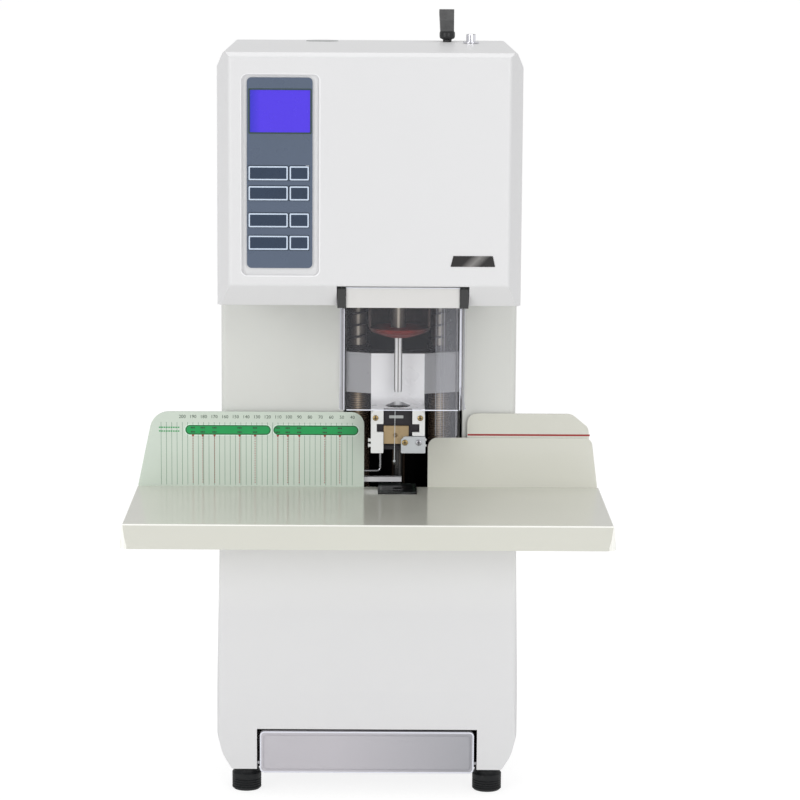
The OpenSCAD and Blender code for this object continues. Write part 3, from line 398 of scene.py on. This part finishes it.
# Width of the rounding on each CAD node's edges, in mm
EDGES = {
    "base_shell": 0.8,
    "head_shell": 0.8,
    "column_shell": 0.7,
    "work_table": 0.6,
    "chip_drawer": 0.8,
    "ruler_fence": 0.6,
    "plain_fence": 0.6,
    "limit_plate": 0.6,
    "press_brackets": 0.35,
    "keeper_plate": 0.35,
    "bay_cover": 0.4,
    "pad_block": 0.6,
    "power_inlet": 0.4,
    "hinge_clips": 0.5,
    "drill_carriage": 0.8,
    "cross_plates": 0.8,
    "lower_bed": 0.8,
    "heater_block": 0.3,
    "insulator_block": 0.3,
    "press_foot": 0.4,
    "press_yoke": 0.8,
    "back_stop": 0.5,
}


def round_edges(obj, width):
    bevel = obj.modifiers.new("edges", "BEVEL")
    bevel.width = width * MM
    bevel.segments = 2
    bevel.limit_method = "ANGLE"
    bevel.angle_limit = math.radians(38)
    bevel.harden_normals = True


# Nodes whose finish differs from that of their slot
LOOKS = {
    "punch_rod": "rod_dark",
    "press_rod": "rod_dark",
    "keeper_plate": "zinc",
    "shield_bar": "tab_white",
    "clear_guide": "milky",
    "hollow_drill": "drill_chrome",
    "guide_columns": "column_chrome",
    "quill": "column_chrome",
    "hinge_clips": "clip_gloss",
    "drill_shroud": "shroud_brown",
    # The lower bed is painted black, as shade deep in the bay
    "lower_bed": "liner_black",
}
slots = {part["node"]: part["material_slot"] for part in frame["record"]["subparts"]}
for name, obj in NODES.items():
    for place in obj.material_slots:
        place.link = "OBJECT"
        place.material = M[slots[name]]
    if name in LOOKS:
        obj.material_slots[0].material = M[LOOKS[name]]
    if name in EDGES:
        round_edges(obj, EDGES[name])


# ---------------------------------------------------------------- pieces


def piece(name, verts, faces, look, body, smooth=False):
    """A mesh in mm made into a piece that rides on a body."""
    mesh = bpy.data.meshes.new(name)
    mesh.from_pydata([Vector(v) * MM for v in verts], [], faces)
    mesh.validate()
    if smooth:
        mesh.shade_smooth()
    obj = bpy.data.objects.new(name, mesh)
    bpy.context.scene.collection.objects.link(obj)
    obj.data.materials.append(M[look])
    if body:
        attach(obj, body)
    return obj


def joined(name, parts, look, body, smooth=False):
    """Several (verts, faces) as one piece."""
    verts, faces = [], []
    for v, f in parts:
        faces += [[i + len(verts) for i in face] for face in f]
        verts += v
    return piece(name, verts, faces, look, body, smooth)


def prism(outline, low, high, put):
    """A simple loop run from low to high; put turns (u, v, depth) into a point."""
    n = len(outline)
    verts = [put(u, v, low) for u, v in outline] + [put(u, v, high) for u, v in outline]
    sides = [[i, (i + 1) % n, n + (i + 1) % n, n + i] for i in range(n)]
    return verts, [list(range(n))[::-1], list(range(n, 2 * n))] + sides


def facing(u, v, depth):
    """Outlines in X and Z, with depth along Y."""
    return (u, depth, v)


def lying(u, v, depth):
    """Outlines in X and Y, with depth along Z."""
    return (u, v, depth)


def rect(x0, x1, z0, z1, r=0.0, n=6):
    """A rectangle, with round corners if r isn't 0."""
    if not r:
        return [(x0, z0), (x1, z0), (x1, z1), (x0, z1)]
    corners = [(x1 - r, z0 + r, -90), (x1 - r, z1 - r, 0), (x0 + r, z1 - r, 90), (x0 + r, z0 + r, 180)]
    return [
        (x + r * math.cos(math.radians(a + 90 * i / n)), z + r * math.sin(math.radians(a + 90 * i / n)))
        for x, z, a in corners
        for i in range(n + 1)
    ]


def inset(outline, by, r=0.0):
    """The rectangle (x0, x1, z0, z1) made smaller all round by a distance."""
    x0, x1, z0, z1 = outline
    return rect(x0 + by, x1 - by, z0 + by, z1 - by, r)


def frame_loop(outer, inner, low, high, put):
    """A flat ring between two outlines of as many points."""
    n = len(outer)
    verts = [put(*p, d) for d in (low, high) for loop in (outer, inner) for p in loop]
    faces = []
    for i in range(n):
        j = (i + 1) % n
        for a, b in ((0, n), (3 * n, 2 * n), (n, 3 * n), (2 * n, 0)):
            faces.append([a + i, a + j, b + j, b + i])
    return verts, faces


def placed(centre, turn):
    """A put for outlines across an axis that starts at centre; turn is its rotation in degrees from +Z."""
    spin = Euler([math.radians(a) for a in turn]).to_matrix()

    def put(u, v, depth):
        return tuple(spin @ Vector((u, v, depth)) + Vector(centre))

    return put


def lathe(profile, centre, turn=(0, 0, 0), sides=32):
    """A (radius, height) profile turned round an axis that starts at centre."""
    put = placed(centre, turn)
    verts, faces = [], []
    for r, h in profile:
        for k in range(sides):
            a = 2 * math.pi * k / sides
            verts.append(put(r * math.cos(a), r * math.sin(a), h))
    for i in range(len(profile) - 1):
        for k in range(sides):
            m = (k + 1) % sides
            faces.append([i * sides + k, i * sides + m, (i + 1) * sides + m, (i + 1) * sides + k])
    faces.append(list(range(sides))[::-1])
    faces.append([(len(profile) - 1) * sides + k for k in range(sides)])
    return verts, faces


def tube(path, radius, sides=10):
    """A round wire along a path."""
    verts, faces = [], []
    points = [Vector(p) for p in path]
    up = Vector((0, 0, 1))
    for i, p in enumerate(points):
        t = (points[min(i + 1, len(points) - 1)] - points[max(i - 1, 0)]).normalized()
        side = t.cross(up)
        side = side.normalized() if side.length > 0.05 else t.cross(Vector((0, 1, 0))).normalized()
        other = t.cross(side).normalized()
        for k in range(sides):
            a = 2 * math.pi * k / sides
            verts.append(tuple(p + radius * (math.cos(a) * side + math.sin(a) * other)))
    for i in range(len(points) - 1):
        for k in range(sides):
            m = (k + 1) % sides
            faces.append([i * sides + k, (i + 1) * sides + k, (i + 1) * sides + m, i * sides + m])
    faces.append(list(range(sides)))
    faces.append([(len(points) - 1) * sides + k for k in range(sides)][::-1])
    return verts, faces


def size_of(name):
    """The lowest and highest corner of a node's box."""
    low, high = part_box(name)
    return [c / MM for c in low], [c / MM for c in high]


def front_of(name):
    """A node's (x0, x1, z0, z1) as seen from the front, and the Y of its front face."""
    low, high = size_of(name)
    return (low[0], high[0], low[2], high[2]), low[1]


# Turns of an axis from +Z, in degrees
TO_FRONT = (90, 0, 0)
TO_BACK = (-90, 0, 0)
TO_RIGHT = (0, 90, 0)
TO_LEFT = (0, -90, 0)


def screw(name, centre, turn, d, height, body, look="steel"):
    """A pan-head screw with a cross recess; the head stands out along the turned axis."""
    r = d / 2
    dome = [(r, 0), (r, height * 0.45), (r * 0.9, height * 0.75), (r * 0.66, height * 0.93), (r * 0.3, height)]
    joined(name, [lathe(dome, centre, turn)], look, body)
    long, wide = r * 0.56, r * 0.13
    arms = [rect(-long, long, -wide, wide), rect(-wide, wide, -long, long)]
    put = placed(centre, turn)
    cross = [prism(arm, height * 0.9, height + 0.06, put) for arm in arms]
    joined(name + "_cross", cross, "black_plastic", body)


# ---- the ruler fence's print ----

fence_face = size_of("ruler_fence")[0][1]
TABLE_TOP = 270.0
RULER_FIRST, RULER_STEP, RULER_TOP = -175.0, 10.0, 330.8
LINE_HALF = 0.17
NUMBER_Z, NUMBER_HEIGHT = 334.6, 4.4
PILL_Z = (318.9, 328.1)
PILLS_X = {"left": (-172.2, -91.8), "right": (-89.4, -9.4)}
RED_MARKS = [-165.0, -155.8, -144.7, -121.1, -106.6, -85.2, -75.8, -65.0, -41.0, -26.8]
ARROW_HALF, ARROW_DROP, ARROW_GAP = 1.3, 2.6, 0.8
DASH_HALF, DASH_LONG, DASH_STEP = 0.35, 1.1, 2.3
MARGIN_X = -197.0
# Thickness of one layer of ink, and how far prints and thin plates reach into the face they lie on
INK = 0.06
PRINT_SINK = 0.02
PLATE_SINK = 0.05


def ink(outline, layer=1):
    """An outline printed on the fence; a higher layer lies over the lower ones."""
    return prism(outline, fence_face - INK * layer, fence_face - INK * (layer - 1) + PRINT_SINK, facing)


def stroke_row(x, z, count, step, long, high, layer):
    """Plain strokes in a row, the first with its lower left corner at (x, z)."""
    return [ink(rect(x + step * k, x + long + step * k, z, z + high), layer) for k in range(count)]


half_steps = [RULER_FIRST + RULER_STEP * (i / 2 - 2) for i in range(37)]
thin = [ink(rect(x - LINE_HALF, x + LINE_HALF, TABLE_TOP + 1.0, RULER_TOP)) for x in half_steps]
joined("ruler_lines", thin, "print_line", "stand")
for tag, (x0, x1) in PILLS_X.items():
    pill = (x0, x1, *PILL_Z)
    radius = (PILL_Z[1] - PILL_Z[0]) / 2
    joined("pill_halo_" + tag, [ink(inset(pill, -0.9, radius + 0.9))], "print_light", "stand")
    joined("pill_" + tag, [ink(rect(*pill, radius), 2)], "print_green", "stand")
    rim = frame_loop(
        inset(pill, 0.3, radius - 0.3),
        inset(pill, 0.95, radius - 0.95),
        fence_face - INK * 3,
        fence_face - INK * 2 + PRINT_SINK,
        facing,
    )
    joined("pill_rim_" + tag, [rim], "print_dark", "stand")
# Under the labels each red mark is an arrow head with a dashed line down to the table
marks = []
for x in RED_MARKS:
    z = PILL_Z[0]
    marks.append(ink([(x - ARROW_HALF, z), (x, z - ARROW_DROP), (x + ARROW_HALF, z)], 3))
    z -= ARROW_DROP + ARROW_GAP
    while z > TABLE_TOP + 2:
        marks.append(ink(rect(x - DASH_HALF, x + DASH_HALF, z - DASH_LONG, z), 2))
        z -= DASH_STEP
joined("ruler_red_marks", marks, "print_red", "stand")
# Rows of plain short strokes on the labels and in the left margin
strokes = []
for x in RED_MARKS:
    for down in (3.3, 7.3):
        strokes += stroke_row(x - 2.0, PILL_Z[1] - down, 3, 1.4, 1.0, 1.4, 4)
joined("pill_strokes", strokes, "print_dark", "stand")
strokes = []
for z in (321.6, 325.2):
    strokes += stroke_row(MARGIN_X, z, 9, 2.2, 1.6, 1.1, 2)
joined("margin_strokes", strokes, "print_green", "stand")


def number(text, x, z, height, y, look, body):
    """One number as a flat mesh on a face that looks to the front."""
    curve = bpy.data.curves.new("n_" + text, "FONT")
    curve.body = text
    curve.size = height * MM
    curve.align_x = "CENTER"
    curve.extrude = 0.04 * MM
    curve.resolution_u = 3
    holder = bpy.data.objects.new("tmp_" + text, curve)
    bpy.context.scene.collection.objects.link(holder)
    bpy.context.view_layer.update()
    mesh = bpy.data.meshes.new_from_object(holder.evaluated_get(bpy.context.evaluated_depsgraph_get()))
    bpy.data.objects.remove(holder)
    obj = bpy.data.objects.new("number_" + text, mesh)
    bpy.context.scene.collection.objects.link(obj)
    obj.rotation_euler = (math.radians(90), 0, 0)
    obj.location = (x * MM, y * MM, z * MM)
    obj.data.materials.clear()
    obj.data.materials.append(M[look])
    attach(obj, body)


for i in range(17):
    x = RULER_FIRST + RULER_STEP * i
    number(str(200 - 10 * i), x, NUMBER_Z, NUMBER_HEIGHT, fence_face - 0.05, "print_dark", "stand")

# ---- the limit plate's red line ----

LIMIT_LINE_Z = (318.8, 320.5)
low, high = size_of("limit_plate")
limit = rect(low[0] + 0.3, high[0] - 1.5, *LIMIT_LINE_Z)
joined("limit_line", [prism(limit, low[1] - 0.08, low[1] + PRINT_SINK, facing)], "print_red", "stand")

# ---- keys, display frame, bare badge with a painted reflection, and the keypad recess's painted highlight ----

for i in range(1, 9):
    outline, face = front_of("key_%d" % i)
    outer, inner = inset(outline, 0.3, 1.0), inset(outline, 1.5, 0.5)
    rim = frame_loop(outer, inner, face - 0.18, face + PRINT_SINK, facing)
    joined("key_%d_rim" % i, [rim], "print_sky", "key_%d" % i)
outline, face = front_of("display_window")
outer, inner = inset(outline, -0.2, 0.6), inset(outline, 0.9, 0.3)
bezel = frame_loop(outer, inner, face - 0.35, face + PLATE_SINK, facing)
joined("display_bezel", [bezel], "print_dark", "stand")
head_low, head_high = size_of("head_shell")
head_face, head_top = head_low[1], head_high[2]
BADGE = [(72.0, 495.0), (111.4, 495.0), (109.2, 504.6), (74.4, 504.6)]
joined("badge", [prism(BADGE, head_face - 0.5, head_face + PLATE_SINK, facing)], "badge_sheen", "stand")
# A painted highlight: a bright rim round the keypad recess, broader on its right and lower side
RECESS_X = (-113.4, -44.0)
RECESS_DEEP, RECESS_HIGH = 197, 19
(x0, x1), z0, z1 = RECESS_X, head_top - RECESS_DEEP, head_top - RECESS_HIGH
recess_highlight = frame_loop(
    rect(x0 - 0.3, x1 + 0.5, z0 - 0.5, z1 + 0.3, 5.8),
    rect(x0 + 0.3, x1 - 0.5, z0 + 0.5, z1 - 0.3, 5.0),
    head_face - 0.12,
    head_face + PRINT_SINK,
    facing,
)
joined("recess_highlight", [recess_highlight], "rim_white", "stand")

# ---- press unit: screws, label, pins and needle ----

brk_low, brk_high = size_of("press_brackets")
keep_low, keep_high = size_of("keeper_plate")
heat_low, heat_high = size_of("heater_block")
bracket_face = brk_low[1]
KEEPER_SCREW_Z = 319.4
HEATER_LABEL = (19.2, 32.4, 341.2, 343.9)
PIN = [(1.5, 0), (1.5, 1.6), (1.9, 1.7), (1.9, 2.4), (0.6, 2.6)]
NUB = [(1.1, 0), (1.1, 0.8), (0.7, 1.1)]
BALL = [(0.1, -1.2), (0.8, -0.95), (1.15, -0.4), (1.15, 0.4), (0.8, 0.95), (0.1, 1.2)]
NEEDLE_X, NEEDLE_LEAN, NEEDLE_TIP = 24.6, 0.5, 302.0
for i, x in enumerate((brk_low[0] + 4.3, brk_high[0] - 4.3)):
    centre = (x, bracket_face, brk_high[2] - 7.6)
    screw("bracket_screw_%d" % (i + 1), centre, TO_FRONT, 5.2, 1.5, "press", "brass")
for i, (x, look) in enumerate(((keep_high[0] - 19.0, "brass"), (keep_high[0] - 6.2, "steel"))):
    screw("keeper_screw_%d" % (i + 1), (x, keep_low[1], KEEPER_SCREW_Z), TO_FRONT, 5.6, 1.3, "press", look)
label = prism(rect(*HEATER_LABEL, 0.6), heat_low[1] - 0.3, heat_low[1] + PLATE_SINK, facing)
joined("heater_label", [label], "label_grey", "press")
for i, z in enumerate((321.0, 316.0)):
    pin = lathe(PIN, (brk_low[0], bracket_face + 2, z), TO_LEFT, 20)
    joined("bracket_pin_%d" % (i + 1), [pin], "bright_white", "press")
for i, z in enumerate((322.0, 316.5)):
    nub = lathe(NUB, (keep_high[0] - 0.1, keep_low[1] + 1.6, z), TO_RIGHT, 16)
    joined("keeper_nub_%d" % (i + 1), [nub], "bright_white", "press")
needle_y = bracket_face - 2.6
needle_end = (NEEDLE_X - NEEDLE_LEAN, needle_y, NEEDLE_TIP)
joined("needle", [tube([(NEEDLE_X, needle_y, heat_high[2] - 1), needle_end], 0.3, 8)], "zinc", "press")
joined("needle_ball", [lathe(BALL, needle_end, sides=16)], "zinc", "press", smooth=True)

# ---- paper feeler behind the fence ----

FEELER_Y, FEELER_Z = 27.0, 284.2
FEELER_START, FEELER_X, FEELER_TIP = -22.5, 11.2, 304.0
BEND_R = 3
feeler = [(FEELER_START, FEELER_Y, FEELER_Z), (8.0, FEELER_Y, FEELER_Z)]
for angle in range(0, 91, 15):
    a = math.radians(angle)
    x = FEELER_X - BEND_R + BEND_R * math.sin(a)
    feeler.append((x, FEELER_Y, FEELER_Z + BEND_R - BEND_R * math.cos(a)))
feeler.append((FEELER_X, FEELER_Y, FEELER_TIP))
joined("paper_feeler", [tube(feeler, 1.0)], "steel", "stand")

# ---- the head's top plug and the fences' screws ----

PLUG = [(15.5, -0.5), (15.5, 0.3), (14.9, 0.7), (10.5, 0.8), (10.0, 0.5), (0.5, 0.5)]
PLUG_X, PLUG_Y = -46, 130
joined("top_plug", [lathe(PLUG, (PLUG_X, PLUG_Y, head_top), sides=48)], "label_grey", "stand")
table_half = size_of("work_table")[1][0] - 2
FENCE_SCREWS = (
    ("left", -table_half + 38, -30, "ruler_fence"),
    ("right", 80, table_half - 28, "plain_fence"),
)
for side, x0, x1, host in FENCE_SCREWS:
    back = size_of(host)[1][1]
    for i in range(3):
        centre = (x0 + (x1 - x0) * i / 2, back, TABLE_TOP - 10)
        screw("fence_screw_%s_%d" % (side, i + 1), centre, TO_BACK, 7.0, 2.2, "stand")

# ---- return springs: a wound wire in the place of each CAD helix ----

SPRING_R = 10.4
TURN_POINTS = 20
CLOSED_PITCH = 1.04
LOWER_PITCH = 2.15
UPPER_WIRE, LOWER_WIRE = 2.0, 1.45


def helix(x, y, z0, z1, turns, closed, wire):
    """A coil with closed turns at its lower and upper end and the rest evenly open."""
    low_end, high_end = closed
    pitch = wire * CLOSED_PITCH
    height = z1 - z0 - wire
    free = height - pitch * (low_end + high_end)
    count = int(turns * TURN_POINTS)
    points = []
    for i in range(count + 1):
        t = turns * i / count
        if t < low_end:
            z = pitch * t
        elif t > turns - high_end:
            z = height - pitch * (turns - t)
        else:
            z = pitch * low_end + free * (t - low_end) / (turns - low_end - high_end)
        a = 2 * math.pi * t
        points.append((x + SPRING_R * math.cos(a), y + SPRING_R * math.sin(a), z0 + wire / 2 + z))
    return tube(points, wire / 2, 8)


for side in ("left", "right"):
    low, high = size_of("upper_spring_" + side)
    x, y = (low[0] + high[0]) / 2, (low[1] + high[1]) / 2
    coil = helix(x, y, low[2], high[2], 9.0, (3.0, 1.0), UPPER_WIRE)
    upper = joined("upper_coil_" + side, [coil], "spring_dark", None, True)
    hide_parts("upper_spring_" + side)
    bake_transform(upper)
    low, high = size_of("lower_spring_" + side)
    x, y = (low[0] + high[0]) / 2, (low[1] + high[1]) / 2
    coil = helix(x, y, low[2], high[2], (high[2] - low[2]) / LOWER_PITCH, (1.5, 1.5), LOWER_WIRE)
    lower = joined("lower_coil_" + side, [coil], "spring_steel", None, True)
    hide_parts("lower_spring_" + side)
    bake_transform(lower)

# ---- painted shade: black sheets inside the press bay ----

BAY = (-23.0, 88.0, 28.0, 84.0)
SHADE_SHEET = 0.45
SHADE_SHEET_Z = (248.6, 457.4)
x0, x1, y0, y1 = BAY
liner = [
    prism(rect(x0 + 0.05, x0 + SHADE_SHEET, y0 + 1.5, y1 - 2.0), *SHADE_SHEET_Z, lying),
    prism(rect(x1 - SHADE_SHEET, x1 - 0.05, y0 + 1.5, y1 - 2.0), *SHADE_SHEET_Z, lying),
    prism(rect(x0 + 2.0, x1 - 2.0, y1 - SHADE_SHEET, y1 - 0.05), *SHADE_SHEET_Z, lying),
]
joined("bay_shade_sheets", liner, "liner_black", "stand")

# ---- rear cover screws, the drawer's painted edge highlight and painted shade under it, the pad's raised frame ----

REAR_SCREW_X = 127.5
back_face = size_of("rear_cover")[1][1]
for tag, x in (("a", -REAR_SCREW_X), ("b", REAR_SCREW_X)):
    for i, z in enumerate((140.0, 390.0, 650.0)):
        screw("rear_screw_%s%d" % (tag, i + 1), (x, back_face - 2.2, z), TO_BACK, 6.4, 1.7, "stand")
# Painted highlight round the drawer front's edge
outline, face = front_of("chip_drawer")
outer, inner = inset(outline, 0.15, 3.9), inset(outline, 1.3, 3.0)
drawer_edge_highlight = frame_loop(outer, inner, face - 0.12, face + PLATE_SINK, facing)
joined("drawer_edge_highlight", [drawer_edge_highlight], "edge_light", "drawer")
# Painted shade: a black strip in the gap under the drawer
GAP_SHADE = (-101.2, 101.2, 22.7, 25.2)
base_front = size_of("base_shell")[0][1]
gap_shade = prism(rect(*GAP_SHADE), base_front + 11.5, base_front + 11.95, facing)
joined("drawer_gap_shade", [gap_shade], "liner_black", "stand")
(x0, y0, _), (x1, y1, pad_top) = size_of("pad_block")
pad_frame = frame_loop(
    rect(x0 + 1.5, x1 - 1.5, y0 + 1.5, y1 - 1.5, 1.0),
    rect(x0 + 3.5, x1 - 3.5, y0 + 4.0, y1 - 4.0, 1.0),
    pad_top - 0.02,
    pad_top + 0.15,
    lying,
)
joined("pad_frame", [pad_frame], "pad_green", "stand")

# ---- clear shield and guide: painted highlights and shade along their edges ----

SHEET_TOP = 456.0
WALL = 3.0
shield_low, shield_high = size_of("shield")
front = shield_low[1]


def wall_strip(x0, x1, depth):
    """An upright strip inside the clear wall, from its bottom to its top."""
    outline = rect(x0, x1, shield_low[2] + 0.3, SHEET_TOP - 0.4)
    return prism(outline, front + depth, front + depth + 0.4, facing)


# In each rounded corner the wall has painted highlights and painted shade as bright and dark lines: look,
# from, to, depth behind the front
LEFT_STRIPS = (
    ("tab_white", 0.3, 1.1, 6.2),
    ("edge_mid", 2.0, 3.8, 3.0),
    ("edge_dark", 3.9, 4.7, 1.9),
    ("edge_light", 4.8, 5.6, 1.5),
)
RIGHT_STRIPS = (
    ("edge_mid", 2.1, 2.9, 3.6),
    ("edge_dark", 3.9, 4.7, 1.9),
    ("edge_light", 5.7, 6.4, 1.4),
    ("edge_dark", 9.2, 9.9, 1.2),
)
for n, (look, near, far, depth) in enumerate(LEFT_STRIPS):
    strip = wall_strip(shield_low[0] + near, shield_low[0] + far, depth)
    joined("shield_left_%d" % (n + 1), [strip], look, "shield")
for n, (look, near, far, depth) in enumerate(RIGHT_STRIPS):
    strip = wall_strip(shield_high[0] - far, shield_high[0] - near, depth)
    joined("shield_right_%d" % (n + 1), [strip], look, "shield")
# Painted highlights along the top of the shield's bar and the shield's lower front edge
(x0, x1, _, bar_top), face = front_of("shield_bar")
bar_line = prism(rect(x0 + 0.2, x1 - 0.2, bar_top - 0.9, bar_top - 0.1), face - 0.15, face + 0.3, facing)
joined("shield_bar_line", [bar_line], "edge_light", "shield")
low_edge = rect(shield_low[0] + 7.5, shield_high[0] - 7.5, shield_low[2] + 0.1, shield_low[2] + 1.0)
joined("shield_edge_low", [prism(low_edge, front - 0.05, front + PRINT_SINK, facing)], "edge_light", "shield")
# Painted highlights on the side walls' rear and lower edges
back = shield_high[1]
for tag, x in (("left", shield_low[0]), ("right", shield_high[0] - WALL)):
    rear_edge = rect(x + 0.3, x + 2.7, shield_low[2] + 0.4, SHEET_TOP - 0.4)
    joined("shield_rear_" + tag, [prism(rear_edge, back - 0.5, back + 0.05, facing)], "edge_light", "shield")
    under_edge = rect(x + 0.3, x + 2.7, front + 8.0, back - 0.6)
    under = prism(under_edge, shield_low[2] - 0.05, shield_low[2] + 0.3, lying)
    joined("shield_under_" + tag, [under], "edge_light", "shield")
# Painted reflections: pale streaks down the clear guide's front and lines along its sides
guide_low, guide_high = size_of("clear_guide")
guide_z = (guide_low[2] + 0.5, guide_high[2] - 0.5)
for n, share in enumerate((0.22, 0.36, 0.9)):
    x = guide_low[0] + share * (guide_high[0] - guide_low[0])
    streak = prism(rect(x, x + 0.45, *guide_z), guide_low[1] - 0.05, guide_low[1] + PRINT_SINK, facing)
    joined("guide_streak_%d" % (n + 1), [streak], "edge_mid", "stand")
for tag, x in (("left", guide_low[0] + 0.1), ("right", guide_high[0] - 0.7)):
    line = prism(rect(x, x + 0.6, *guide_z), guide_high[1] - 0.5, guide_high[1] + 0.05, facing)
    joined("guide_edge_" + tag, [line], "edge_mid", "stand")

# ---------------------------------------------------------------- floor, light and camera

# The floor is white to the camera, in reflections and through clear walls, and a plain light grey to all else
SPAN = 40.0
floor_mesh = bpy.data.meshes.new("floor")
floor_mesh.from_pydata([(x, y, 0) for x, y in rect(-SPAN, SPAN, -SPAN, SPAN)], [], [[0, 1, 2, 3]])
floor = bpy.data.objects.new("floor", floor_mesh)
bpy.context.scene.collection.objects.link(floor)
ground = bpy.data.materials.new("ground")
ground.use_nodes = True
tree = ground.node_tree
tree.nodes.clear()
output = node(tree, "ShaderNodeOutputMaterial")
matte = node(tree, "ShaderNodeBsdfDiffuse", Color=(0.3, 0.3, 0.3, 1))
plain = node(tree, "ShaderNodeBsdfDiffuse", Color=(0.8, 0.8, 0.8, 1))
glow = node(tree, "ShaderNodeEmission", Color=(1, 1, 1, 1), Strength=0.82)
seen = node(tree, "ShaderNodeAddShader")
pick = node(tree, "ShaderNodeMixShader")
rays = node(tree, "ShaderNodeLightPath").outputs
tree.links.new(matte.outputs[0], seen.inputs[0])
tree.links.new(glow.outputs[0], seen.inputs[1])
through = math_node(tree, "MAXIMUM", rays["Is Glossy Ray"], rays["Is Transmission Ray"])
tree.links.new(math_node(tree, "MAXIMUM", rays["Is Camera Ray"], through), pick.inputs[0])
tree.links.new(plain.outputs[0], pick.inputs[1])
tree.links.new(seen.outputs[0], pick.inputs[2])
tree.links.new(pick.outputs[0], output.inputs["Surface"])
floor_mesh.materials.append(ground)

# The world is white to the camera and dimmer as a light
world = bpy.data.worlds.new("studio")
bpy.context.scene.world = world
world.use_nodes = True
tree = world.node_tree
tree.nodes.clear()
output = node(tree, "ShaderNodeOutputWorld")
dim = node(tree, "ShaderNodeBackground", Color=(1, 1, 1, 1), Strength=0.62)
white = node(tree, "ShaderNodeBackground", Color=(1, 1, 1, 1), Strength=1.0)
pick = node(tree, "ShaderNodeMixShader")
rays = node(tree, "ShaderNodeLightPath").outputs
tree.links.new(rays["Is Camera Ray"], pick.inputs[0])
tree.links.new(dim.outputs[0], pick.inputs[1])
tree.links.new(white.outputs[0], pick.inputs[2])
tree.links.new(pick.outputs[0], output.inputs["Surface"])


def area_light(name, place, target, size, watts):
    lamp = bpy.data.lights.new(name, "AREA")
    lamp.shape = "RECTANGLE"
    lamp.size, lamp.size_y = size
    lamp.energy = watts
    obj = bpy.data.objects.new(name, lamp)
    bpy.context.scene.collection.objects.link(obj)
    obj.location = place
    obj.rotation_euler = (Vector(target) - Vector(place)).to_track_quat("-Z", "Y").to_euler()


MIDDLE = (0, 0, 0.35)
SIDE_PANEL, TOP_PANEL = (1.5, 1.9), (1.6, 1.6)
area_light("key", (-2.3, -2.6, 1.2), MIDDLE, SIDE_PANEL, 28)
area_light("fill", (1.4, -2.9, 0.9), MIDDLE, SIDE_PANEL, 23)
area_light("top", (0, 0.4, 2.6), (0, 0, 0.4), TOP_PANEL, 13)

# Camera place in metres, its angles in degrees and its sideways shift as a share of the frame
EYE = (0, -2.760, 0.798)
PITCH, ROLL = 9.098, 0.28
SHIFT = 0.0393
camera = bpy.data.cameras.new("camera")
camera.lens = 135
camera.sensor_width = 36
camera.shift_x = SHIFT
camera.clip_start, camera.clip_end = 0.1, 200
eye = bpy.data.objects.new("camera", camera)
bpy.context.scene.collection.objects.link(eye)
tilt = Euler((math.radians(90 - PITCH), 0, 0)).to_matrix().to_4x4()
roll = Euler((0, 0, math.radians(ROLL))).to_matrix().to_4x4()
eye.matrix_world = Matrix.Translation(EYE) @ tilt @ roll
bpy.context.scene.camera = eye
bpy.context.scene.view_settings.view_transform = "Standard"
